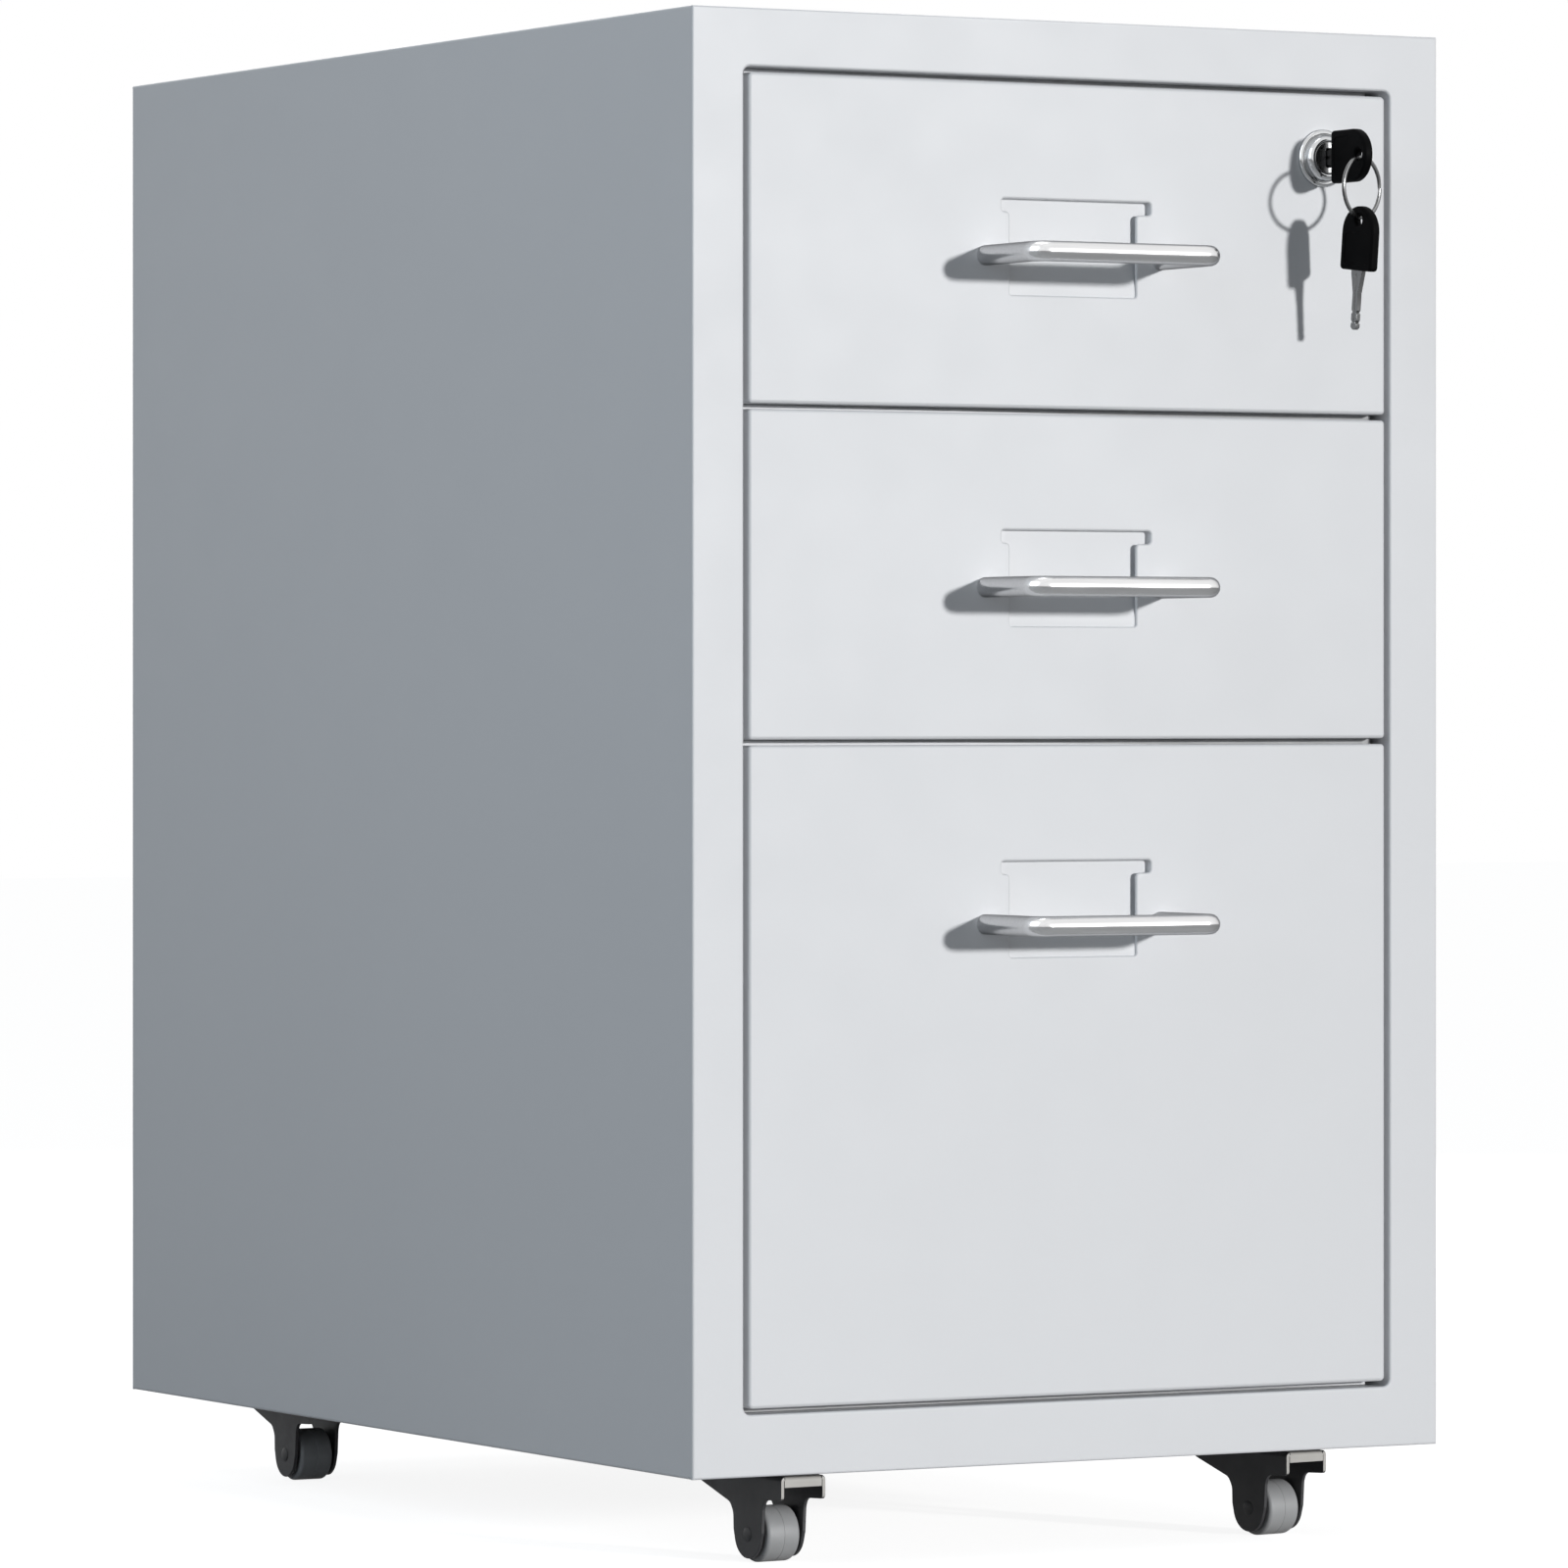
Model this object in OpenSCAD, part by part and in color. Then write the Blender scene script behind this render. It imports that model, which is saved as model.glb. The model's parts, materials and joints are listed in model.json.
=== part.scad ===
// Rolling pedestal cabinet: a steel carcass on four swivel castors with two box drawers,
// a hanging-file drawer, telescopic slides and one lock that holds all three drawers.
// X runs left to right, Y from the front to the back, Z up from the floor.

/* [Body] */
// Width of the steel body
body_w = 340; // [300:5:460]
// Depth of the steel body
body_d = 510; // [480:5:640]
// Height of the steel body, without the castors
body_h = 565; // [520:5:760]
// Height of the body's lower edge above the floor
ground_clearance = 37; // [37:1:60]
// Thickness of the body and drawer sheet
sheet = 1; // [0.8:0.1:1.5]
// Width of the folded flanges on the side panels
panel_flange = 12; // [8:1:18]
// Height of the base pan above the body's lower edge
base_recess = 6; // [6:0.5:12]
// Thickness of the base pan
base_t = 1.2; // [1:0.1:2]

/* [Front] */
// Face frame's border at the sides and the top
frame_border = 22.5; // [20:0.5:40]
// Face frame's border at the bottom
frame_bottom = 24; // [20:0.5:60]
// Depth of the frame's inner return
frame_return = 18; // [12:1:20]
// Corner radius of the frame's opening
frame_corner_r = 3; // [1:0.5:6]
// Gap round every drawer front
front_gap = 2.2; // [1.5:0.1:4]
// Height of the two box drawers' fronts
small_front_h = 127.3; // [125:0.1:160]
// Depth of the folded drawer fronts
front_depth = 18; // [16:1:20]

/* [Drawers] */
// Height of the tray's floor above the front's lower edge
tray_lift = 10; // [6:1:16]
// Distance from a tray's rim up to the upper edge of its front
tray_drop = 37.3; // [34:0.1:45]
// Space between a closed tray and the body's back
tray_rear_gap = 52; // [40:1:120]
// Width of the rolled hem along the trays' top edges
hem_w = 3; // [2:0.5:5]
// Height of the rolled hem
hem_h = 5; // [3:0.5:8]
// Distance of the hanging-file bars from the tray's two ends
file_bar_inset = 52; // [20:1:60]

/* [Slides] */
// Thickness of one telescopic slide
slide_t = 12.7; // [12:0.1:14]
// Height of the slide's cabinet member
slide_h = 46; // [44:1:50]
// Sheet thickness of the slide's members
rail_t = 1.2; // [1:0.1:1.3]
// Running clearance between two members
rail_gap = 0.4; // [0.3:0.05:0.5]
// Height of the slide's centre above the tray's floor
slide_lift = 28; // [26:1:30]

/* [Handles] */
// Diameter of the handle's rod
handle_rod_d = 8; // [7:0.5:10]
// Distance between the handle's feet
handle_pitch = 80; // [80:1:128]
// How far the handle stands out from the drawer front
handle_projection = 44.5; // [38:0.5:50]
// Radius of the rod's bends on its centre line
handle_bend_r = 5; // [5:0.5:14]
// Handle's distance below the front's upper edge
handle_drop = 68; // [60:0.5:75]
// The same on the tall lower drawer
file_handle_drop = 70; // [60:0.5:75]

/* [Label pocket] */
// Upper edge of the pocket below the front's upper edge
label_drop = 45.5; // [40:0.5:50]
// Width of the slot that the card goes in by
label_slot_w = 68; // [62:0.5:72]
// How far the slot sits to the right of the window's middle
label_slot_shift = 1.5; // [0:0.1:2]
// Height of that slot
label_slot_h = 5; // [4:0.5:8]
// Width of the pocket's window
label_window_w = 57.5; // [40:0.5:58]
// Height of the whole pocket
label_h = 37.6; // [30:0.1:45]
// Depth of the pocket behind the sheet
label_depth = 2; // [1.5:0.1:4]

/* [Lock and keys] */
// Lock's distance in from the drawer front's right edge
lock_inset = 29.7; // [26:0.5:34]
// Lock's distance below the front's upper edge
lock_drop = 25.6; // [24:0.1:30]
// Width of the lock's front flange around the barrel
lock_flange_w = 2; // [1.5:0.1:4]
// Diameter of the lock's barrel
lock_barrel_d = 19; // [18:0.5:20]
// Diameter of the turning plug
plug_d = 12.9; // [12:0.1:14]
// Length of the cam from the lock's axis to its tip
cam_reach = 32; // [31:0.5:33]
// Width of the cam
cam_w = 10; // [8:0.5:12]
// Width of a key's bow
bow_w = 21; // [18:0.5:22]
// Length of a key's bow
bow_len = 25.5; // [24:0.1:26]
// Distance from the drawer's face to the base of the inserted key's bow
key_standout = 8.9; // [8:0.1:11]
// Thickness of a key's bow
bow_t = 4; // [3:0.5:4]
// Length of a key's blade
blade_len = 23.5; // [18:0.5:26]
// Outer diameter of the key ring
ring_d = 25.5; // [22:0.5:26]
// Wire diameter of the key ring
ring_wire_d = 1.6; // [1.2:0.1:1.6]

/* [Locking bar] */
// Upward travel of the locking bar
bar_travel = 10; // [9:0.5:10]
// Width of the locking bar
bar_w = 16; // [12:1:18]
// Thickness of the locking bar
bar_t = 2; // [1.5:0.1:2.5]
// Height of a catch above its tray's floor
catch_lift = 62.3; // [60.5:0.1:64]
// Height of a catch
catch_h = 6; // [4:0.5:6]

/* [Castors] */
// Diameter of a castor's wheel
wheel_d = 22; // [20:0.5:25]
// Width of a castor's tread
wheel_w = 15; // [11:0.1:15.6]
// Distance from the wheel's axle to the swivel axis
castor_trail = 5; // [2:0.5:6]
// Width of a castor's fork
fork_w = 20.5; // [20:0.5:24]
// Length of a castor's fork at its top
fork_len = 59; // [54:1:62]
// Sheet thickness of the forks and the castor plates
fork_t = 1.5; // [1.2:0.1:1.5]
// Swivel axis's distance in from the body's side
castor_inset_x = 55.5; // [40:0.5:60]
// Swivel axis's distance in from the body's front
castor_inset_front = 45; // [36:1:70]
// Swivel axis's distance in from the body's back
castor_inset_rear = 53; // [36:1:70]
// Angle by which the front left castor rests turned
front_left_turn = 3.5; // [-20:0.5:20]
// The same for the front right castor
front_right_turn = 7; // [-20:0.5:20]

/* [Hidden] */
$fn = 64;

UPPER = 0;
MIDDLE = 1;
LOWER = 2;
DRAWERS = [UPPER, MIDDLE, LOWER];
LEFT = -1;
RIGHT = 1;

paint_colour = "#dde2e5";
inner_colour = "#cfd4d7";
zinc_colour = "#b9bdc0";
chrome_colour = "#c9ccd0";
fork_colour = "#4a4a4e";
wheel_colour = "#c4c5c7";
bow_colour = "#111213";

// The keys, and how far they reach out from the drawer's face
bow_hole_d = 5;
bow_hole_inset = 5.5;
ring_turn = 21;
spare_turn = 3;
spare_tilt = 6;
wire_drop = 1;
key_hole_reach = key_standout + bow_len - bow_hole_inset;
spare_half_w = bow_w / 2 - (bow_w / 2 - bow_hole_inset + wire_drop) * sin(spare_tilt);
spare_reach = key_hole_reach + spare_half_w * cos(spare_turn) + bow_t / 2 * sin(spare_turn);

// The body's faces and the frame's opening, with the whole depth centred on the origin
half_w = body_w / 2;
front_y = (max(handle_projection, spare_reach) - body_d) / 2;
back_y = front_y + body_d;
body_z0 = ground_clearance;
body_z1 = body_z0 + body_h;
inner_hw = half_w - sheet;
open_hw = half_w - frame_border;
open_z0 = body_z0 + frame_bottom;
open_z1 = body_z1 - frame_border;
base_z = body_z0 + base_recess;
base_lip = 12;

// The drawer fronts
front_hw = open_hw - front_gap;
front_r = frame_corner_r - 1;
upper_z0 = open_z1 - front_gap - small_front_h;
middle_z0 = upper_z0 - front_gap - small_front_h;
lower_z0 = open_z0 + front_gap;
front_z0 = [upper_z0, middle_z0, lower_z0];
front_h = [small_front_h, small_front_h, middle_z0 - front_gap - lower_z0];
handle_z = [
    for (drawer = DRAWERS)
        front_z0[drawer] + front_h[drawer] - (drawer == LOWER ? file_handle_drop : handle_drop)
];
dust_lip_y = front_y + 10;
dust_lip_gap = 0.5;
dust_lip_h = front_gap - dust_lip_gap;

// Fasteners
eps = 1;
thread_d = 4;
screw_hole_d = 4.4;
screw_head_d = 7;
screw_head_t = 2;
handle_thread_len = 8;
castor_thread_len = 8;
running_gap = 0.05;
hole_gap = 0.3;

// The lock and its cam, behind the upper drawer's front
lock_x = front_hw - lock_inset;
lock_z = front_z0[UPPER] + small_front_h - lock_drop;
nose_len = 5;
barrel_len = front_depth + 3;
nut_t = 4;
nut_wall = 3.5;
cam_t = 2.5;
cam_y0 = front_y + barrel_len + 2;
cam_y1 = cam_y0 + cam_t;
cam_screw_d = 2.9;
cam_screw_len = 5;
cam_screw_head_d = 6;
cam_screw_head_t = 1.8;
keyway_w = 2.4;
keyway_gap = 0.2;
blade_t = 2;
blade_w = 7;
blade_tip_w = 3.6;
blade_taper = 8;
tang_len = 4;
blade_depth = blade_len - key_standout;

// The locking bar stands between the face frame and the front posts
bar_x = open_hw + 2.5;
bar_y0 = cam_y1 + 1.5;
bar_y1 = bar_y0 + bar_w;
bar_tail = 20;
guide_gap = 0.3;
guide_h = 6;
guide_x0 = open_hw + 1.3;
guide_margin = 3;
hook_y0 = bar_y0 + 4;
hook_depth = 4;
hook_reach = 10;
hook_lead = 5.2;
hook_h = 8.5;
hook_drop = 1.5;
catch_gap = 1;
catch_t = 2;
catch_reach = slide_t - 2.5;
catch_y0 = hook_y0 + hook_depth + catch_gap;
catch_strip_w = 12;
cam_lift_gap = 0.2;
foot_t = 2.5;
foot_w = 12;
foot_z = lock_z + cam_w / 2 + cam_lift_gap - bar_travel;
foot_x0 = lock_x + cam_reach - foot_w;
foot_y0 = cam_y0 - 1;

// The trays, and the slides that begin behind the cam and the locking bar
tray_hw = open_hw - slide_t;
tray_y0 = front_y + front_depth;
tray_y1 = back_y - tray_rear_gap;
tray_h = [for (h = front_h) h - tray_lift - tray_drop];
slide_len = tray_y1 - tray_y0 - 10;
rail_y0 = bar_y1 + 1;
drawer_rail_y0 = cam_y1 + 2.5;
drawer_rail_len = tray_y1 - drawer_rail_y0;
sliding_rail_len = slide_len - 10;
rail_side_gap = 2.5;
sliding_rail_inset = rail_t + rail_gap;
drawer_rail_inset = 2 * sliding_rail_inset;
post_w = 40;
post_foot = 10;
post_inset = 46;
post_front_y = rail_y0 + post_inset;
post_rear_y = rail_y0 + slide_len - post_inset - post_w;
post_z0 = open_z0 - 4;
file_bar_w = 12;
file_bar_t = 3;
file_bar_lip = 6;
file_bar_places = [tray_y0 + file_bar_inset, tray_y1 - file_bar_inset - file_bar_w];

// The key ring hangs in the inserted key's bow
ring_r = (ring_d - ring_wire_d) / 2;
ring_top = [lock_x, front_y - key_hole_reach, lock_z - wire_drop];
ring_bottom = ring_top - [0, 0, 2 * ring_r];

// The castors
wheel_r = wheel_d / 2;
castor_x = half_w - castor_inset_x;
castor_front_y = front_y + castor_inset_front;
castor_rear_y = back_y - castor_inset_rear;
plate_w = 44;
plate_hole_pitch = 34;
plate_t = fork_t + 0.5;
plate_z = base_z - plate_t;
fork_drop = 1.8;
fork_z = body_z0 - fork_drop;
race_d = 30;
race_gap = 0.3;
kingpin_d = 6;
kingpin_head_d = 11;
kingpin_head_t = 1.6;
fork_flange_h = 9.6;
fork_lip_h = 4.4;
cheek_front = 11;
cheek_rear = 13;
cheek_tail = 3.9;
cheek_lift = 1.5;
axle_d = 4;
axle_head_d = 6;
axle_head_t = 0.6;
hub_t = 2;
hub_gap = 0.3;
tread_edge_r = 1.6;
tread_rim = 3;
wheel_dish = 0.6;

// ---- shared shapes ----

// A box between two opposite corners
module slab(low, high) translate(low) cube(high - low);

// A rectangle from low to high with all four corners rounded, or only some of them
module rounded_rect(low, high, r, bottom = true, top = true) {
    rb = bottom ? r : 0;
    rt = top ? r : 0;
    translate([low[0] + r, low[1]]) square([high[0] - low[0] - 2 * r, high[1] - low[1]]);
    translate([low[0], low[1] + rb]) square([high[0] - low[0], high[1] - low[1] - rb - rt]);
    for (x = [low[0] + r, high[0] - r]) {
        if (bottom) translate([x, low[1] + r]) circle(r);
        if (top) translate([x, high[1] - r]) circle(r);
    }
}

// Stands a drawing of the XZ plane up at y0, as thick as depth towards the back
module upright(y0, depth) translate([0, y0 + depth, 0]) rotate([90, 0, 0]) linear_extrude(depth) children();

// A cylinder along Y, from y0 to y1
module rod_y(x, z, d, y0, y1) translate([x, y0, z]) rotate([-90, 0, 0]) cylinder(h = y1 - y0, d = d);

// Both sides of what is drawn on the right
module both_sides() {
    children();
    mirror([1, 0, 0]) children();
}

// ---- carcass ----

module opening_shape(grow) rounded_rect(
    [-open_hw - grow, open_z0 - grow], [open_hw + grow, open_z1 + grow], frame_corner_r + grow
);

module front_frame() color(paint_colour) {
    upright(front_y, sheet) difference() {
        translate([-half_w, body_z0]) square([body_w, body_h]);
        opening_shape(0);
    }
    upright(front_y + sheet, frame_return - sheet) difference() {
        opening_shape(sheet);
        opening_shape(0);
    }
    flange_hw = inner_hw - panel_flange - hole_gap;
    flange_y = [front_y + sheet, front_y + sheet + panel_flange];
    slab([-flange_hw, flange_y[0], body_z1 - 2 * sheet], [flange_hw, flange_y[1], body_z1 - sheet]);
    slab([-flange_hw, flange_y[0], body_z0], [flange_hw, flange_y[1], body_z0 + sheet]);
}

// Skin with folded flanges at the front, the back and the top
module right_panel_shape() color(paint_colour) {
    y0 = front_y + sheet;
    y1 = back_y - sheet;
    z1 = body_z1 - sheet;
    flange_x = inner_hw - panel_flange;
    slab([inner_hw, y0, body_z0], [half_w, y1, z1]);
    slab([flange_x, y0, body_z0], [inner_hw, y0 + sheet, z1]);
    slab([flange_x, y1 - sheet, body_z0], [inner_hw, y1, z1]);
    slab([flange_x, y0 + panel_flange + sheet, z1 - sheet], [inner_hw, y1 - sheet, z1]);
}

module right_side_panel() right_panel_shape();

module left_side_panel() mirror([1, 0, 0]) right_panel_shape();

module top_panel() color(paint_colour)
    slab([-half_w, front_y + sheet, body_z1 - sheet], [half_w, back_y, body_z1]);

module back_panel() color(paint_colour) {
    slab([-half_w, back_y - sheet, body_z0], [half_w, back_y, body_z1 - sheet]);
}

module base_panel() color(paint_colour) {
    y0 = front_y + 2 * sheet;
    y1 = back_y - 2 * sheet;
    difference() {
        slab([-inner_hw, y0, base_z], [inner_hw, y1, base_z + base_t]);
        castor_screw_places() translate([0, 0, base_z - eps])
            cylinder(h = base_t + 2 * eps, d = screw_hole_d);
    }
    both_sides() slab([inner_hw - sheet, y0, base_z + base_t], [inner_hw, y1, base_z + base_t + base_lip]);
}

// Two upright hat channels that carry one side's slides
module right_posts_shape() color(inner_colour) {
    z1 = body_z1 - 2 * sheet;
    for (y = [post_front_y, post_rear_y]) {
        slab([open_hw, y, post_z0], [open_hw + base_t, y + post_w, z1]);
        for (leg_y = [y, y + post_w - base_t])
            slab([open_hw + base_t, leg_y, post_z0], [inner_hw, leg_y + base_t, z1]);
        for (foot_y = [y - post_foot, y + post_w])
            slab([inner_hw - base_t, foot_y, post_z0], [inner_hw, foot_y + post_foot, z1]);
    }
}

module right_slide_posts() right_posts_shape();

module left_slide_posts() mirror([1, 0, 0]) right_posts_shape();

// ---- slides: a cabinet member, a sliding member and a drawer member on each side ----

function slide_z(drawer) = front_z0[drawer] + tray_lift + slide_lift;

// A channel with its web at x_web and its two edges reaching to x_edge
module channel(x_web, x_edge, half_h, y0, len, z) {
    web_x = x_web < x_edge ? [x_web, x_web + rail_t] : [x_web - rail_t, x_web];
    edge_x = [min(x_web, x_edge), max(x_web, x_edge)];
    slab([web_x[0], y0, z - half_h], [web_x[1], y0 + len, z + half_h]);
    for (low = [-half_h, half_h - rail_t])
        slab([edge_x[0], y0, z + low], [edge_x[1], y0 + len, z + low + rail_t]);
}

module cabinet_rails(drawer) color(zinc_colour) both_sides()
    channel(open_hw, tray_hw + rail_side_gap, slide_h / 2, rail_y0, slide_len, slide_z(drawer));

module sliding_rails(drawer) color(zinc_colour) both_sides() channel(
    open_hw - sliding_rail_inset, tray_hw + rail_side_gap, slide_h / 2 - sliding_rail_inset,
    rail_y0, sliding_rail_len, slide_z(drawer)
);

// The drawer members, with a strip up to the catch that the locking bar's hook holds
module drawer_rails(drawer) color(zinc_colour) {
    half_h = slide_h / 2 - drawer_rail_inset;
    both_sides() channel(
        tray_hw, open_hw - drawer_rail_inset - rail_gap, half_h,
        drawer_rail_y0, drawer_rail_len, slide_z(drawer)
    );
    z0 = front_z0[drawer] + tray_lift + catch_lift;
    slab([tray_hw, catch_y0, z0], [tray_hw + catch_reach, catch_y0 + catch_t, z0 + catch_h]);
    slab(
        [tray_hw, catch_y0, slide_z(drawer) + half_h],
        [tray_hw + rail_t, catch_y0 + catch_strip_w, z0 + catch_h]
    );
}

// ---- drawers ----

// Outline of a drawer front, rounded only where it meets the frame's corners
module front_outline(drawer, inset) rounded_rect(
    [-front_hw + inset, front_z0[drawer] + inset],
    [front_hw - inset, front_z0[drawer] + front_h[drawer] - inset],
    front_r, drawer == LOWER, drawer == UPPER
);

// Window and card slot of the label pocket
module label_cut(drawer) {
    z1 = front_z0[drawer] + front_h[drawer] - label_drop;
    translate([-label_window_w / 2, z1 - label_h]) square([label_window_w, label_h]);
    translate([label_slot_shift - label_slot_w / 2, z1 - label_slot_h])
        square([label_slot_w, label_slot_h]);
}

module handle_holes(drawer) {
    z = handle_z[drawer];
    for (x = [-handle_pitch / 2, handle_pitch / 2]) translate([x, z]) circle(d = screw_hole_d);
}

module lock_hole(drawer) if (drawer == UPPER)
    translate([lock_x, lock_z]) circle(d = lock_barrel_d + 2 * hole_gap);

// Lip that closes the gap above a front, and the one below it where the frame comes next
module dust_lips(drawer) {
    x = front_hw - front_r - sheet;
    z0 = front_z0[drawer];
    z1 = z0 + front_h[drawer];
    slab([-x, dust_lip_y, z1 - sheet], [x, dust_lip_y + sheet, z1 + dust_lip_h]);
    if (drawer == LOWER)
        slab([-x, dust_lip_y, z0 - dust_lip_h], [x, dust_lip_y + sheet, z0 + sheet]);
}

// Double-skinned front: face, four returns, liner and dust lips
module drawer_front(drawer) color(paint_colour) {
    upright(front_y, sheet) difference() {
        front_outline(drawer, 0);
        label_cut(drawer);
        handle_holes(drawer);
        lock_hole(drawer);
    }
    upright(front_y + sheet, front_depth - 2 * sheet) difference() {
        front_outline(drawer, 0);
        front_outline(drawer, sheet);
    }
    upright(front_y + front_depth - sheet, sheet) difference() {
        front_outline(drawer, 0);
        lock_hole(drawer);
    }
    dust_lips(drawer);
}

module label_pocket(drawer) color(paint_colour) {
    z1 = front_z0[drawer] + front_h[drawer] - label_drop;
    low = [label_slot_shift - label_slot_w / 2 - sheet, z1 - label_h - sheet];
    high = [label_slot_shift + label_slot_w / 2 + sheet, z1 + sheet];
    upright(front_y + sheet, label_depth) difference() {
        translate(low) square(high - low);
        translate(low + [sheet, sheet]) square(high - low - 2 * [sheet, sheet]);
    }
    upright(front_y + sheet + label_depth, sheet) translate(low) square(high - low);
}

// Floor, sides and back with rolled edges: the upper tray has a notch that the cam swings through
module tray(drawer) color(inner_colour) difference() {
    z0 = front_z0[drawer] + tray_lift;
    z1 = z0 + tray_h[drawer];
    union() {
        slab([-tray_hw, tray_y0, z0], [tray_hw, tray_y1, z0 + sheet]);
        slab([-tray_hw, tray_y1 - sheet, z0], [tray_hw, tray_y1, z1]);
        slab([-tray_hw, tray_y1 - hem_w, z1 - hem_h], [tray_hw, tray_y1, z1]);
        both_sides() {
            slab([tray_hw - sheet, tray_y0, z0], [tray_hw, tray_y1, z1]);
            slab([tray_hw - hem_w, tray_y0, z1 - hem_h], [tray_hw, tray_y1, z1]);
        }
    }
    notch_z0 = lock_z - cam_reach - cam_w / 2;
    notch_y1 = cam_y1 + 4;
    if (drawer == UPPER)
        slab([tray_hw - hem_w - eps, tray_y0 - eps, notch_z0], [tray_hw + eps, notch_y1, z1 + eps]);
}

// Two cross bars that hanging folders hook on
module file_bars() color(zinc_colour) {
    z = front_z0[LOWER] + tray_lift + tray_h[LOWER];
    lip_x = tray_hw - hem_w - hole_gap;
    for (y = file_bar_places) {
        slab([-tray_hw, y, z], [tray_hw, y + file_bar_w, z + file_bar_t]);
        both_sides() slab([lip_x - file_bar_t, y, z - file_bar_lip], [lip_x, y + file_bar_w, z]);
    }
}

// Bow handle of round rod: two legs, two bends and the bar, with a tapped hole in each foot
module handle(drawer) color(chrome_colour) {
    z = handle_z[drawer];
    bar_y = front_y - handle_projection + handle_rod_d / 2;
    x_leg = handle_pitch / 2;
    difference() {
        union() {
            translate([handle_bend_r - x_leg, bar_y, z]) rotate([0, 90, 0])
                cylinder(h = handle_pitch - 2 * handle_bend_r, d = handle_rod_d);
            both_sides() {
                rod_y(x_leg, z, handle_rod_d, bar_y + handle_bend_r, front_y);
                translate([x_leg - handle_bend_r, bar_y + handle_bend_r, z]) rotate([0, 0, -90])
                    rotate_extrude(angle = 90) translate([handle_bend_r, 0]) circle(d = handle_rod_d);
            }
        }
        both_sides() rod_y(x_leg, z, thread_d, front_y - handle_thread_len - 2, front_y + eps);
    }
}

module handle_screws(drawer) color(zinc_colour) {
    z = handle_z[drawer];
    both_sides() {
        rod_y(handle_pitch / 2, z, thread_d - 2 * running_gap, front_y - handle_thread_len, front_y + sheet);
        rod_y(handle_pitch / 2, z, screw_head_d, front_y + sheet, front_y + sheet + screw_head_t);
    }
}

// ---- lock on the upper drawer ----

// Turns a profile of radius and height into a body along Y, measured forward from the front
module lock_turned(points) translate([lock_x, front_y, lock_z]) rotate([90, 0, 0]) rotate_extrude()
    polygon(points);

// Flange, stepped nose and barrel, bored for the plug
module lock_housing() color(chrome_colour) {
    nose_r = lock_barrel_d / 2;
    flange_r = nose_r + lock_flange_w;
    bore_r = plug_d / 2 + running_gap;
    wall = nose_r - bore_r;
    lock_turned([
        [bore_r, -barrel_len], [nose_r, -barrel_len], [nose_r, 0], [flange_r, 0],
        [flange_r, 1.2], [flange_r - 0.7, 2], [nose_r - wall / 8, 2.2], [nose_r - wall / 5, 2.8],
        [nose_r - wall / 3, nose_len - 1], [nose_r - 2 * wall / 3, nose_len], [bore_r, nose_len]
    ]);
}

module lock_nut() color(zinc_colour) difference() {
    translate([lock_x, front_y + sheet + nut_t, lock_z]) rotate([90, 0, 0])
        cylinder(h = nut_t, d = lock_barrel_d + 2 * nut_wall, $fn = 6);
    rod_y(lock_x, lock_z, lock_barrel_d + 2 * running_gap, front_y, front_y + sheet + nut_t + eps);
}

module lock_plug() color(chrome_colour) difference() {
    rod_y(lock_x, lock_z, plug_d, front_y - nose_len + hole_gap, cam_y0);
    keyway_z = blade_w / 2 + keyway_gap;
    slab(
        [lock_x - keyway_w / 2, front_y - nose_len, lock_z - keyway_z],
        [lock_x + keyway_w / 2, front_y + blade_depth + hole_gap, lock_z + keyway_z]
    );
    rod_y(lock_x, lock_z, cam_screw_d + 2 * running_gap, cam_y0 - cam_screw_len - eps, cam_y0 + eps);
}

// Flat cam that hangs down when the drawers are free
module lock_cam() color(zinc_colour) difference() {
    upright(cam_y0, cam_t) union() {
        translate([lock_x, lock_z]) circle(d = plug_d);
        translate([lock_x - cam_w / 2, lock_z - cam_reach]) square([cam_w, cam_reach]);
    }
    rod_y(lock_x, lock_z, cam_screw_d + hole_gap, cam_y0 - eps, cam_y1 + eps);
}

module lock_cam_screw() color(zinc_colour) {
    rod_y(lock_x, lock_z, cam_screw_d, cam_y0 - cam_screw_len, cam_y1);
    rod_y(lock_x, lock_z, cam_screw_head_d, cam_y1, cam_y1 + cam_screw_head_t);
}

// A key lies in the YZ plane: its bow's base is at the origin and its blade points to +Y
module bow_shape() color(bow_colour) {
    r = bow_w / 2;
    difference() {
        rotate([90, 0, 90]) translate([0, 0, -bow_t / 2]) linear_extrude(bow_t) difference() {
            union() {
                translate([r - bow_len, 0]) circle(r);
                translate([r - bow_len, -r]) square([bow_len - r, bow_w]);
            }
            translate([bow_hole_inset - bow_len, 0]) circle(d = bow_hole_d);
        }
        slab([-blade_t / 2, -tang_len, -blade_w / 2], [blade_t / 2, eps, blade_w / 2]);
    }
}

// Blade with its tang in the bow, a wide shoulder and two cuts along the bit
module blade_shape() color(chrome_colour) {
    wide = blade_w / 2;
    thin = blade_tip_w / 2;
    tip = 0.6;
    bit_cuts = [blade_len - 3, blade_len - 7];
    translate([-blade_t / 2, 0, 0]) rotate([90, 0, 90]) linear_extrude(blade_t) difference() {
        polygon([
            [-tang_len, -wide], [-tang_len, wide], [1, wide], [1 + blade_taper, thin],
            [blade_len - 1, thin], [blade_len, tip], [blade_len, -tip], [blade_len - 1, -thin],
            [1 + blade_taper, -thin], [1, -wide]
        ]);
        for (y = bit_cuts) translate([y, thin]) rotate(45) square(2 * tip, center = true);
    }
}

module key_place() translate([lock_x, front_y - key_standout, lock_z]) children();

module key_bow() key_place() bow_shape();

module key_blade() key_place() blade_shape();

module key_ring() color(chrome_colour) translate((ring_top + ring_bottom) / 2)
    rotate([90, 0, ring_turn]) rotate_extrude() translate([ring_r, 0]) circle(d = ring_wire_d);

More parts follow.
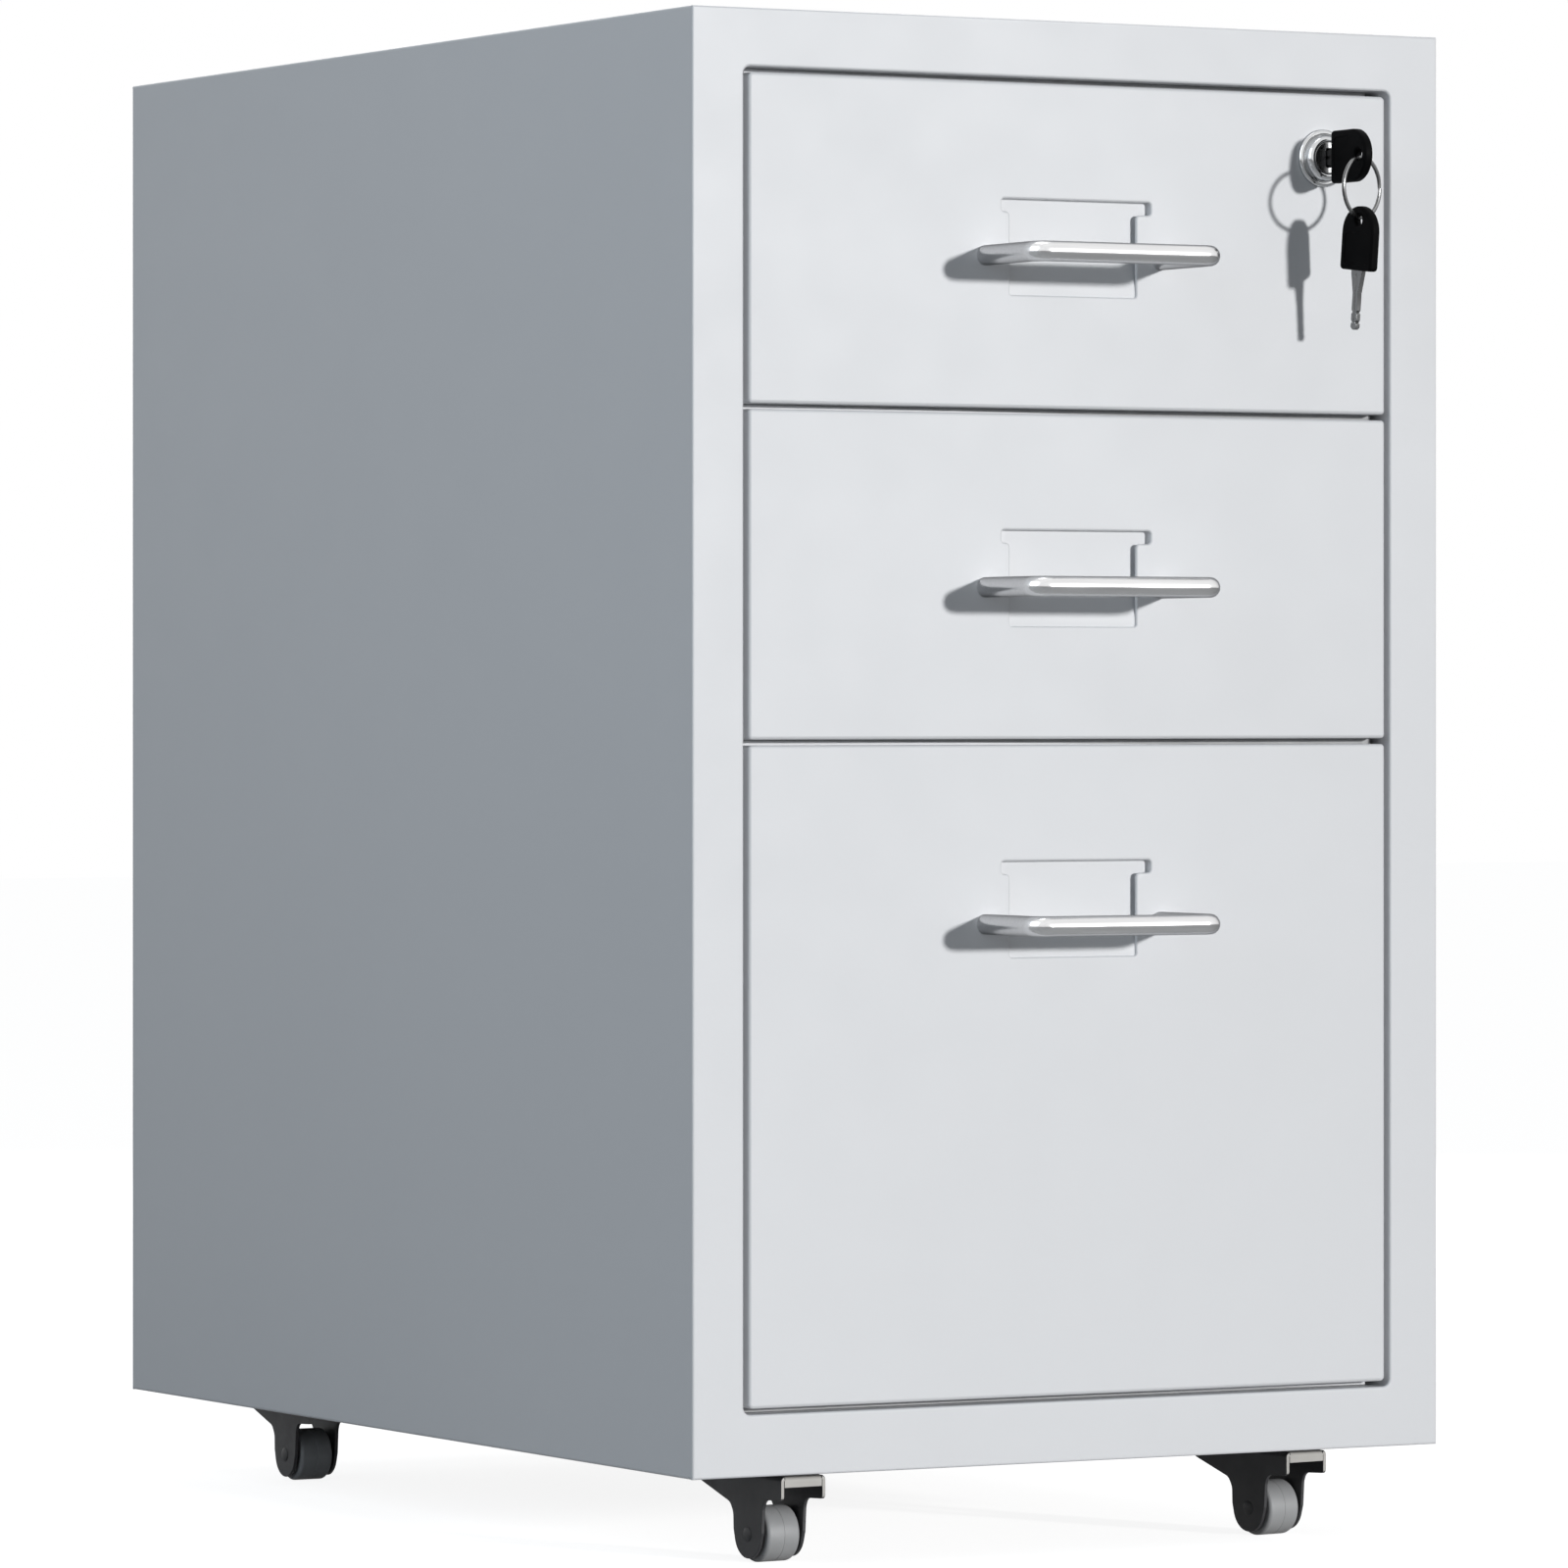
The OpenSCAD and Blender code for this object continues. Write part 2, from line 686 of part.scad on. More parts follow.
// The spare key hangs from the ring with its blade down
module spare_place() translate(ring_bottom) rotate([0, 0, spare_turn]) rotate([spare_tilt, 0, 0])
    translate([0, 0, -wire_drop - bow_len + bow_hole_inset]) rotate([-90, 0, 0]) children();

module spare_key_bow() spare_place() bow_shape();

module spare_key_blade() spare_place() blade_shape();

// ---- locking bar ----

function hook_z(drawer) = front_z0[drawer] + tray_lift + catch_lift - hook_drop - hook_h;

module lock_bar() color(zinc_colour) {
    x1 = bar_x + bar_t;
    slab([bar_x, bar_y0, hook_z(LOWER) - bar_tail], [x1, bar_y1, foot_z + foot_t]);
    slab([foot_x0, foot_y0, foot_z], [bar_x, hook_y0, foot_z + foot_t]);
    slab([bar_x, foot_y0, foot_z], [x1, bar_y0, foot_z + foot_t]);
}

// One hook for each drawer, on the bar's inner face
module lock_bar_hooks() color(zinc_colour) for (drawer = DRAWERS)
    upright(hook_y0, hook_depth) translate([bar_x, hook_z(drawer)]) hook_outline();

// A hook's tip slopes back, so that it stays clear of a catch and its strip until the bar lifts
module hook_outline() polygon([[0, 0], [0, hook_h], [hook_lead - hook_reach, hook_h], [-hook_reach, 0]]);

// A guide under each hook, on which the bar comes to rest
module lock_bar_guides() color(bow_colour) for (drawer = DRAWERS) difference() {
    z1 = hook_z(drawer);
    slab([guide_x0, bar_y0 - guide_margin, z1 - guide_h], [inner_hw, bar_y1 + guide_margin, z1]);
    slab(
        [bar_x - guide_gap, bar_y0 - guide_gap, 0],
        [bar_x + bar_t + guide_gap, bar_y1 + guide_gap, z1 + eps]
    );
}

// ---- castors ----

module at_castor(side, end) translate([side * castor_x, end < 0 ? castor_front_y : castor_rear_y, 0])
    children();

// What turns about a castor's kingpin
module on_castor(side, end) at_castor(side, end)
    rotate([0, 0, end > 0 ? 0 : side == LEFT ? front_left_turn : front_right_turn]) children();

module castor_places() for (side = [LEFT, RIGHT], end = [-1, 1]) at_castor(side, end) children();

module castor_screw_places() castor_places()
    for (x = [-1, 1], y = [-1, 1]) translate([x, y, 0] * plate_hole_pitch / 2) children();

// Fixed plates, each with its riveted kingpin
module castor_plates() color(zinc_colour) {
    difference() {
        castor_places() slab([-plate_w / 2, -plate_w / 2, plate_z], [plate_w / 2, plate_w / 2, base_z]);
        castor_screw_places() translate([0, 0, plate_z - eps])
            cylinder(h = plate_t + 2 * eps, d = screw_hole_d);
    }
    head_z = fork_z - fork_t - race_gap - kingpin_head_t;
    castor_places() {
        translate([0, 0, head_z]) cylinder(h = kingpin_head_t, d = kingpin_head_d);
        translate([0, 0, head_z]) cylinder(h = plate_z - head_z, d = kingpin_d);
    }
}

module castor_screws() color(zinc_colour) castor_screw_places() {
    translate([0, 0, plate_z - screw_head_t]) cylinder(h = screw_head_t, d = screw_head_d);
    translate([0, 0, plate_z]) cylinder(h = castor_thread_len, d = thread_d);
}

// Side view of a cheek: a flange that tapers to the rear, a neck and a round end over the wheel
module cheek_outline() {
    top = fork_z;
    low = top - fork_flange_h;
    half_len = fork_len / 2;
    axle_y = -castor_trail;
    end_r = wheel_r - cheek_lift;
    side_y = end_r * 1.1;
    join_y = end_r * cos(27);
    join_z = wheel_r - end_r * sin(27);
    polygon([
        [-half_len, top], [half_len, top], [half_len, low + cheek_tail],
        [axle_y + cheek_rear, low - 3], [axle_y + end_r + 1, wheel_r + 8], [axle_y + side_y, wheel_r + 2],
        [axle_y + join_y, join_z], [axle_y - join_y, join_z], [axle_y - side_y, wheel_r],
        [axle_y - cheek_front, low - 3], [axle_y - cheek_front - 1.5, low - 1],
        [2 - half_len, low], [-half_len, low + 2]
    ]);
    translate([axle_y, wheel_r]) circle(end_r);
}

module fork(side, end) color(fork_colour) on_castor(side, end) {
    half = fork_w / 2;
    difference() {
        union() {
            slab([-half, -fork_len / 2, fork_z - fork_t], [half, fork_len / 2, fork_z]);
            for (x = [-half, half - fork_t])
                translate([x, 0, 0]) rotate([90, 0, 90]) linear_extrude(fork_t) cheek_outline();
            for (y = [-fork_len / 2, fork_len / 2 - fork_t])
                slab([-half, y, fork_z - fork_lip_h], [half, y + fork_t, fork_z]);
            translate([0, 0, fork_z]) cylinder(h = plate_z - race_gap - fork_z, d = race_d);
        }
        translate([0, 0, fork_z - fork_t - eps])
            cylinder(h = plate_z - fork_z + fork_t + eps, d = kingpin_d + 2 * running_gap);
        translate([-half - eps, -castor_trail, wheel_r]) rotate([0, 90, 0])
            cylinder(h = fork_w + 2 * eps, d = axle_d + 2 * running_gap);
    }
}

module axle(side, end) color(fork_colour) on_castor(side, end)
    translate([0, -castor_trail, wheel_r]) rotate([0, 90, 0]) {
        half = fork_w / 2;
        translate([0, 0, -half]) cylinder(h = fork_w, d = axle_d);
        for (z = [-half - axle_head_t, half]) translate([0, 0, z]) cylinder(h = axle_head_t, d = axle_head_d);
    }

// Solid wheel with rounded tread edges, dished sides and a raised hub on each side
module wheel(side, end) color(wheel_colour) on_castor(side, end)
    translate([0, -castor_trail, wheel_r]) rotate([0, 90, 0]) rotate_extrude() {
        bore_r = axle_d / 2 + running_gap;
        hub_half = fork_w / 2 - fork_t - hub_gap;
        half = wheel_w / 2;
        edge_z = half - tread_edge_r;
        edge_x = wheel_r - tread_edge_r;
        difference() {
            union() {
                translate([bore_r, -half]) square([edge_x - bore_r, wheel_w]);
                translate([bore_r, -edge_z]) square([wheel_r - bore_r, 2 * edge_z]);
                for (z = [-edge_z, edge_z]) translate([edge_x, z]) circle(tread_edge_r);
                translate([bore_r, -hub_half]) square([hub_t, 2 * hub_half]);
            }
            for (z = [-half, half]) translate([bore_r + hub_t, z - wheel_dish])
                square([wheel_r - tread_rim - bore_r - hub_t, 2 * wheel_dish]);
        }
    }

front_frame();
left_side_panel();
right_side_panel();
top_panel();
back_panel();
base_panel();
left_slide_posts();
right_slide_posts();
lock_bar_guides();
lock_bar();
lock_bar_hooks();
cabinet_rails(UPPER);  // upper_cabinet_rails
cabinet_rails(MIDDLE);  // middle_cabinet_rails
cabinet_rails(LOWER);  // lower_cabinet_rails
sliding_rails(UPPER);  // upper_sliding_rails
sliding_rails(MIDDLE);  // middle_sliding_rails
sliding_rails(LOWER);  // lower_sliding_rails
drawer_rails(UPPER);  // upper_drawer_rails
drawer_rails(MIDDLE);  // middle_drawer_rails
drawer_rails(LOWER);  // lower_drawer_rails
drawer_front(UPPER);  // upper_drawer_front
drawer_front(MIDDLE);  // middle_drawer_front
drawer_front(LOWER);  // lower_drawer_front
tray(UPPER);  // upper_tray
tray(MIDDLE);  // middle_tray
tray(LOWER);  // lower_tray
label_pocket(UPPER);  // upper_label_pocket
label_pocket(MIDDLE);  // middle_label_pocket
label_pocket(LOWER);  // lower_label_pocket
handle(UPPER);  // upper_handle
handle(MIDDLE);  // middle_handle
handle(LOWER);  // lower_handle
handle_screws(UPPER);  // upper_handle_screws
handle_screws(MIDDLE);  // middle_handle_screws
handle_screws(LOWER);  // lower_handle_screws
file_bars();
lock_housing();
lock_nut();
lock_plug();
lock_cam();
lock_cam_screw();
key_blade();
key_bow();
key_ring();
spare_key_blade();
spare_key_bow();
castor_plates();
castor_screws();
fork(LEFT, -1);  // front_left_fork
fork(RIGHT, -1);  // front_right_fork
fork(LEFT, 1);  // rear_left_fork
fork(RIGHT, 1);  // rear_right_fork
axle(LEFT, -1);  // front_left_axle
axle(RIGHT, -1);  // front_right_axle
axle(LEFT, 1);  // rear_left_axle
axle(RIGHT, 1);  // rear_right_axle
wheel(LEFT, -1);  // front_left_wheel
wheel(RIGHT, -1);  // front_right_wheel
wheel(LEFT, 1);  // rear_left_wheel
wheel(RIGHT, 1);  // rear_right_wheel
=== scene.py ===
import json
import math

import bmesh
import bpy
from mathutils import Matrix, Vector
from mathutils.geometry import tessellate_polygon

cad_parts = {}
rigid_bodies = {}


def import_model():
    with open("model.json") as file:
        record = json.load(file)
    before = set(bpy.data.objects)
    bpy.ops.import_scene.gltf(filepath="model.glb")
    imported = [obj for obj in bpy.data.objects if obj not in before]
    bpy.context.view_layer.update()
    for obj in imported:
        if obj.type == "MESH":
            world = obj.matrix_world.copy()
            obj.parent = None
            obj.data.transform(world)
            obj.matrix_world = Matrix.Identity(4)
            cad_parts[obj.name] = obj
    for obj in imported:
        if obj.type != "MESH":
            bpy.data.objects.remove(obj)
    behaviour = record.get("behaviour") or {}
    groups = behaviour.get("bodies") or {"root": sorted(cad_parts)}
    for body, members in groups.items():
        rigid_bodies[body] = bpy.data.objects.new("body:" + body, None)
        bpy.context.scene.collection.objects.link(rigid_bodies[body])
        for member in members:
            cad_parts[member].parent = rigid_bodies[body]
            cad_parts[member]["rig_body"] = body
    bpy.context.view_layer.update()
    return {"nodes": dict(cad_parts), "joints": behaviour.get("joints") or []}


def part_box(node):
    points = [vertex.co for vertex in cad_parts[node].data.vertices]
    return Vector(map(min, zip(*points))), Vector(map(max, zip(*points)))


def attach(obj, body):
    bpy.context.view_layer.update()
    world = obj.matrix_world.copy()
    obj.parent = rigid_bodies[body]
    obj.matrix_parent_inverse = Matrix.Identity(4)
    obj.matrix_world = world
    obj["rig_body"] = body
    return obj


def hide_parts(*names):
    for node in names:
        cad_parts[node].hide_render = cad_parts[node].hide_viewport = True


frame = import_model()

# Rolling pedestal cabinet. Shapes are drawn in millimetres, in the CAD's own frame:
# X left to right, Y front to back, Z up from the floor.

MM = 0.001


def box_mm(node):
    """Lowest and highest corner of a CAD node, in millimetres."""
    low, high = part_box(node)
    return low / MM, high / MM


# ---- sizes, which repeat part.scad where a box doesn't give them ----

DRAWERS = ("upper", "middle", "lower")
CASTORS = ("front_left", "front_right", "rear_left", "rear_right")
SHEET = 1.0
BODY_LOW, BODY_HIGH = box_mm("front_frame")
FRONT = BODY_LOW.y
HALF_W = BODY_HIGH.x
INNER_HW = HALF_W - SHEET
FRAME_RETURN = BODY_HIGH.y - FRONT
FRONT_GAP = 2.2
DUST_LIP_GAP = 0.5
DUST_LIP_H = FRONT_GAP - DUST_LIP_GAP
DUST_LIP_DEPTH = 10.0
# The lips reach nearly across the gaps between the fronts; their faces in the gaps take a mid-grey, painted
# shade for the gaps
LIP_REACH_H = FRONT_GAP - 0.15
CORNER_R = 3.0
FRONT_R = 2.0
PANEL_FLANGE = 12.0
BASE_T = 1.2
POST_W = 40.0
POST_FOOT = 10.0
TRAY_HW = box_mm("upper_tray")[1].x
HEM_W = 3.0
HEM_H = 5.0
RAIL_T = 1.2
RAIL_GAP = 0.4
RAIL_EDGE_X = TRAY_HW + 2.5
RAIL_INSET = RAIL_T + RAIL_GAP
SLIDE_HALF_H = 23.0
HANDLE_R = 4.0
HANDLE_BEND = 5.0
LABEL_DROP = 45.5
LABEL_H = 37.6
LABEL_WINDOW_HW = 28.75
LABEL_SLOT_HW = 34.0
LABEL_SLOT_SHIFT = 1.5
LABEL_SLOT_H = 5.0
LABEL_FLUSH_H = 5.0
LABEL_SLOPE_H = 11.0
HANDLE_HALF = 40.0
LOCK_HOLE_R = 9.8
PLUG_R = 6.45
BARREL_R = 9.5
BARREL_LEN = 21.0
KEY_BLADE_T = 2.0
KEY_BLADE_W = 7.0
KEY_BLADE_LEN = 23.5
BOW_LEN = 25.5
BOW_R = 10.5
BOW_T = 4.0
KEY_HOLE_IN = 5.5
KEY_HOLE_R = 2.5
KEY_STANDOUT = 8.9
RING_R = 11.95
WHEEL_R = 11.0
WHEEL_HALF_W = 7.5
AXLE_Y = -5.0
FORK_HALF = 10.25
FORK_T = 1.5
FORK_Z = 35.2
FORK_HALF_LEN = 29.5
FLANGE_H = 9.6
FORK_LIP_H = 4.4
HUB_GAP = 0.3


def front_box(drawer):
    """Corners of a folded drawer front, without the dust lips along its edges."""
    low, high = box_mm(drawer + "_drawer_front")
    high.z -= DUST_LIP_H
    if drawer == "lower":
        low.z += DUST_LIP_H
    return low, high


OPEN_HW = front_box("upper")[1].x + FRONT_GAP
OPEN_Z0 = front_box("lower")[0].z - FRONT_GAP
OPEN_Z1 = front_box("upper")[1].z + FRONT_GAP


def joint_anchor(name):
    joint = next(j for j in frame["joints"] if j["name"] == name)
    return Vector(joint["pos_m"]) / MM


LOCK = joint_anchor("key_turn")


# ---- flat outlines ----

def arc(count):
    """Angles from 0 to a right angle."""
    return [math.pi / 2 * k / count for k in range(count + 1)]


def rect(u0, v0, u1, v1):
    """Corners of a rectangle, anticlockwise from the lowest."""
    return [Vector(p) for p in ((u0, v0), (u1, v0), (u1, v1), (u0, v1))]


def circle(u, v, radius, steps=40):
    turns = [2 * math.pi * k / steps for k in range(steps)]
    return [Vector((u + radius * math.cos(t), v + radius * math.sin(t))) for t in turns]


def turned(vector, angle):
    c, s = math.cos(angle), math.sin(angle)
    return Vector((c * vector.x - s * vector.y, s * vector.x + c * vector.y))


def rounded(points, radii, steps=5, closed=True):
    """The line with an arc at each corner; radii is one number, or one for each point."""
    points = [Vector(p) for p in points]
    count = len(points)
    if isinstance(radii, (int, float)):
        radii = [radii] * count
    line = []
    for i, (corner, radius) in enumerate(zip(points, radii)):
        if radius <= 0 or (not closed and i in (0, count - 1)):
            line.append(corner)
            continue
        back = (points[i - 1] - corner).normalized()
        ahead = (points[(i + 1) % count] - corner).normalized()
        half = back.angle(ahead) / 2
        centre = corner + (back + ahead).normalized() * radius / math.sin(half)
        spoke = corner + back * radius / math.tan(half) - centre
        side = 1 if back.x * ahead.y - back.y * ahead.x < 0 else -1
        bend = side * (math.pi - 2 * half)
        line += [centre + turned(spoke, bend * k / steps) for k in range(steps + 1)]
    return line


def moved(line, distance, closed=True):
    """The line set off to its left: inwards, where it runs anticlockwise."""
    count = len(line)
    result = []
    for i, point in enumerate(line):
        sides = []
        if closed or i > 0:
            sides.append((point - line[i - 1]).normalized())
        if closed or i < count - 1:
            sides.append((line[(i + 1) % count] - point).normalized())
        normals = [Vector((-d.y, d.x)) for d in sides]
        way = normals[0]
        if len(normals) == 2:
            way = (normals[0] + normals[1]) / (1 + normals[0].dot(normals[1]))
        result.append(point + way * distance)
    return result


def spot(axis, u, v, w):
    """The point with (u, v) across an axis and w along it."""
    return {"x": (w, u, v), "y": (u, w, v), "z": (u, v, w)}[axis]


# ---- solid shapes ----

class Build:
    """A mesh in the making. New faces take the finish whose number is in paint."""

    def __init__(self):
        self.bm = bmesh.new()
        self.paint = 0

    def face(self, verts):
        self.bm.faces.new(verts).material_index = self.paint

    def ring(self, axis, line, w):
        return [self.bm.verts.new(spot(axis, p[0], p[1], w)) for p in line]

    def skin(self, rings, closed=True):
        """Walls between one ring and the next."""
        for a, b in zip(rings, rings[1:]):
            for i in range(len(a) if closed else len(a) - 1):
                j = (i + 1) % len(a)
                self.face((a[i], a[j], b[j], b[i]))

    def cap(self, rings):
        """Flat face inside the first ring, with the others as holes in it."""
        verts = [v for ring in rings for v in ring]
        for corners in tessellate_polygon([[v.co for v in ring] for ring in rings]):
            self.face([verts[i] for i in corners])

    def edge_rings(self, axis, line, w, way, edge, sign=1, steps=3):
        """Rings that round a sheet's edge, from its face at w to its side."""
        if edge <= 0:
            return [self.ring(axis, line, w)]
        return [
            self.ring(axis, moved(line, sign * edge * (1 - math.sin(t))), w + way * edge * (1 - math.cos(t)))
            for t in arc(steps)
        ]

    def plate(self, axis, outline, w0, w1, edge=0.3, holes=(), recesses=(), steps=3):
        """Plate from w0 to w1 with rounded edges. A recess is (outline, depth) on both faces."""
        edge0, edge1 = edge if isinstance(edge, tuple) else (edge, edge)
        faces = [[], []]
        for line, sign in [(outline, 1)] + [(hole, -1) for hole in holes]:
            front = self.edge_rings(axis, line, w0, 1, edge0, sign, steps)
            back = self.edge_rings(axis, line, w1, -1, edge1, sign, steps)
            self.skin(front + back[::-1])
            faces[0].append(front[0])
            faces[1].append(back[0])
        for line, depth in recesses:
            for side, w, way in ((0, w0, 1), (1, w1, -1)):
                rim = self.ring(axis, line, w)
                floor = self.ring(axis, moved(line, depth), w + way * depth)
                self.skin([rim, floor])
                self.cap([floor])
                faces[side].append(rim)
        self.cap(faces[0])
        self.cap(faces[1])

    def cut(self, axis, place):
        """Splits every face that crosses a plane, so that the mesh can be bent there."""
        normal = {"x": (1, 0, 0), "y": (0, 1, 0), "z": (0, 0, 1)}[axis]
        everything = self.bm.verts[:] + self.bm.edges[:] + self.bm.faces[:]
        point = [place * n for n in normal]
        bmesh.ops.bisect_plane(self.bm, geom=everything, plane_co=point, plane_no=normal)

    def box(self, low, high, edge=0.3, steps=2):
        low, high = Vector(low), Vector(high)
        size = high - low
        axis = "xyz"[min(range(3), key=lambda k: size[k])]
        k = "xyz".index(axis)
        across = [n for n in range(3) if n != k]
        edge = min(edge, 0.45 * size[k])
        line = rect(low[across[0]], low[across[1]], high[across[0]], high[across[1]])
        if edge > 0:
            line = rounded(line, edge * 1.05, steps)
        self.plate(axis, line, low[k], high[k], edge, steps=steps)

    def fold(self, axis, path, thick, w0, w1, radii=1.5, steps=5):
        """Sheet bent along path and running from w0 to w1, as thick as stated to the path's left."""
        near = rounded(path, radii, steps, closed=False)
        far = moved(near, thick, closed=False)
        a0, a1 = self.ring(axis, near, w0), self.ring(axis, near, w1)
        b0, b1 = self.ring(axis, far, w0), self.ring(axis, far, w1)
        for pair in ((a0, a1), (b0, b1), (a0, b0), (a1, b1)):
            self.skin(pair, closed=False)
        for i in (0, -1):
            self.face((a0[i], a1[i], b1[i], b0[i]))

    def lathe(self, axis, centre, profile, steps=48, closed=False):
        """Solid turned about an axis through centre; profile is (radius, place along the axis)."""
        centre = Vector(centre)
        rows = []
        for radius, w in profile:
            if radius < 1e-6:
                rows.append([self.bm.verts.new(centre + Vector(spot(axis, 0, 0, w)))])
                continue
            rows.append([
                self.bm.verts.new(centre + Vector(spot(axis, p.x, p.y, w)))
                for p in circle(0, 0, radius, steps)
            ])
        if closed:
            rows.append(rows[0])
        for a, b in zip(rows, rows[1:]):
            for i in range(steps):
                j = (i + 1) % steps
                if len(a) == 1 and len(b) == 1:
                    break
                if len(a) == 1:
                    self.face((a[0], b[j], b[i]))
                elif len(b) == 1:
                    self.face((a[i], a[j], b[0]))
                else:
                    self.face((a[i], a[j], b[j], b[i]))

    def tube(self, points, radius, steps=28):
        """Round rod along points."""
        points = [Vector(p) for p in points]
        last = len(points) - 1
        rows = []
        side = None
        for i, point in enumerate(points):
            ahead = (points[min(i + 1, last)] - points[max(i - 1, 0)]).normalized()
            if side is None:
                side = ahead.orthogonal().normalized()
            side = (side - ahead * side.dot(ahead)).normalized()
            up = ahead.cross(side)
            round_it = [point + side * p.x + up * p.y for p in circle(0, 0, radius, steps)]
            rows.append([self.bm.verts.new(co) for co in round_it])
        self.skin(rows)
        self.cap([rows[0]])
        self.cap([rows[-1]])

    def screw_head(self, axis, centre, radius, height, way):
        """Domed head with a cross recess, standing on centre and pointing along way."""
        centre = Vector(centre)
        top = 0.72 * radius
        k = "xyz".index(axis)
        profile = [(radius, 0), (radius, 0.35 * height), (0.93 * radius, 0.7 * height), (top, height)]
        rings = [
            self.ring(axis, circle(*[centre[n] for n in range(3) if n != k], r, 32), centre[k] + way * h)
            for r, h in profile
        ]
        self.skin(rings)
        self.cap([rings[0]])
        u, v = [centre[n] for n in range(3) if n != k]
        wide, long = 0.11 * radius, 0.5 * radius
        cross = [
            (wide, -long), (wide, -wide), (long, -wide), (long, wide), (wide, wide), (wide, long),
            (-wide, long), (-wide, wide), (-long, wide), (-long, -wide), (-wide, -wide), (-wide, -long),
        ]
        line = [Vector((u + a, v + b)) for a, b in cross]
        rim = self.ring(axis, line, centre[k] + way * height)
        floor = self.ring(axis, moved(line, 0.04 * radius), centre[k] + way * 0.4 * height)
        self.skin([rim, floor])
        self.cap([floor])
        self.cap([rings[-1], rim])


# ---- finishes ----

def linear(grey_r, grey_g, grey_b):
    return (grey_r, grey_g, grey_b, 1.0)


class Finish:
    """A procedural material: cloudy tone, uneven gloss and a fine relief, all in the object's own space."""

    def __init__(self, name, colour, rough, metallic=0.0):
        self.material = bpy.data.materials.new(name)
        self.material.use_nodes = True
        self.tree = self.material.node_tree
        self.shader = self.tree.nodes["Principled BSDF"]
        self.shader.inputs["Base Color"].default_value = linear(*colour)
        self.shader.inputs["Roughness"].default_value = rough
        self.shader.inputs["Metallic"].default_value = metallic
        self.colour = colour
        self.rough = rough
        self.place = self.add("ShaderNodeTexCoord").outputs["Object"]
        self.heights = []

    def add(self, kind, **values):
        node = self.tree.nodes.new(kind)
        for key, value in values.items():
            setattr(node, key, value)
        return node

    def link(self, a, b):
        self.tree.links.new(a, b)

    def noise(self, scale, detail=2.0, stretch=(1, 1, 1), seed=0.0, rough=0.5):
        """Noise between 0 and 1; scale is in waves per metre."""
        mapping = self.add("ShaderNodeMapping")
        mapping.inputs["Scale"].default_value = stretch
        mapping.inputs["Location"].default_value = (seed, 0.37 * seed, 0.71 * seed)
        self.link(self.place, mapping.inputs["Vector"])
        noise = self.add("ShaderNodeTexNoise")
        noise.inputs["Scale"].default_value = scale
        noise.inputs["Detail"].default_value = detail
        noise.inputs["Roughness"].default_value = rough
        self.link(mapping.outputs["Vector"], noise.inputs["Vector"])
        return noise.outputs["Fac"]

    def ranged(self, value, low, high, start=0.3, end=0.7):
        node = self.add("ShaderNodeMapRange")
        for key, number in (("From Min", start), ("From Max", end), ("To Min", low), ("To Max", high)):
            node.inputs[key].default_value = number
        self.link(value, node.inputs["Value"])
        return node.outputs["Result"]

    def tones(self, value, dark, light, start=0.3, end=0.7):
        """Colour between two multiples of the finish's own, by value."""
        ramp = self.add("ShaderNodeValToRGB")
        ramp.color_ramp.elements[0].position = start
        ramp.color_ramp.elements[1].position = end
        for element, tone in zip(ramp.color_ramp.elements, (dark, light)):
            tone = tone if isinstance(tone, tuple) else (tone,) * 3
            element.color = linear(*[c * t for c, t in zip(self.colour, tone)])
        self.link(value, ramp.inputs["Fac"])
        return ramp.outputs["Color"]

    def over(self, base, top, amount):
        mix = self.add("ShaderNodeMix", data_type="RGBA")
        self.link(amount, mix.inputs["Factor"])
        self.link(base, mix.inputs["A"])
        self.link(top, mix.inputs["B"])
        return mix.outputs["Result"]

    def set_colour(self, value):
        self.link(value, self.shader.inputs["Base Color"])

    def set_rough(self, value):
        self.link(value, self.shader.inputs["Roughness"])

    def relief(self, value, height, strength=1.0):
        """Bump of this height in millimetres; each call lies over the last."""
        bump = self.add("ShaderNodeBump")
        bump.inputs["Distance"].default_value = height * MM
        bump.inputs["Strength"].default_value = strength
        self.link(value, bump.inputs["Height"])
        if self.heights:
            self.link(self.heights[-1], bump.inputs["Normal"])
        self.heights.append(bump.outputs["Normal"])
        for link in list(self.shader.inputs["Normal"].links):
            self.tree.links.remove(link)
        self.link(bump.outputs["Normal"], self.shader.inputs["Normal"])


# Dark tint for the metals' reflection at grazing angles: painted shade along the rims of rods and plating
RIM_SHADE_TINT = (0.25, 0.25, 0.255, 1.0)


def powder_coat(name, colour, rough, peel):
    """Baked powder paint: faint clouds, a soft orange peel and a finer grain in it."""
    f = Finish(name, colour, rough)
    f.set_colour(f.tones(f.noise(5.0, 3.0), 0.994, 1.006))
    f.set_rough(f.ranged(f.noise(38.0, 3.0, seed=2.0), rough - 0.015, rough + 0.02))
    f.relief(f.noise(420.0, 1.0, seed=4.0), peel)
    f.relief(f.noise(1500.0, 1.0, seed=6.0), peel * 0.25)
    return f.material


def zinc(name, colour, rough, tint):
    """Plated sheet steel: bluish and straw-coloured clouds, rolling lines and fine scuffs."""
    f = Finish(name, colour, rough, 1.0)
    bluish, straw = (1 - tint, 1 - 0.6 * tint, 1.0), (1.0, 1 - 0.3 * tint, 1 - 1.2 * tint)
    clouds = f.tones(f.noise(22.0, 4.0, rough=0.6), bluish, straw)
    lines = f.tones(f.noise(160.0, 2.0, stretch=(1, 0.04, 1), seed=3.0), 0.9, 1.06)
    f.set_colour(f.over(clouds, lines, f.noise(9.0, 2.0, seed=5.0)))
    f.set_rough(f.ranged(f.noise(60.0, 4.0, seed=7.0), rough - 0.09, rough + 0.1))
    f.relief(f.noise(700.0, 2.0, stretch=(1, 0.06, 1), seed=9.0), 0.006)
    return f.material


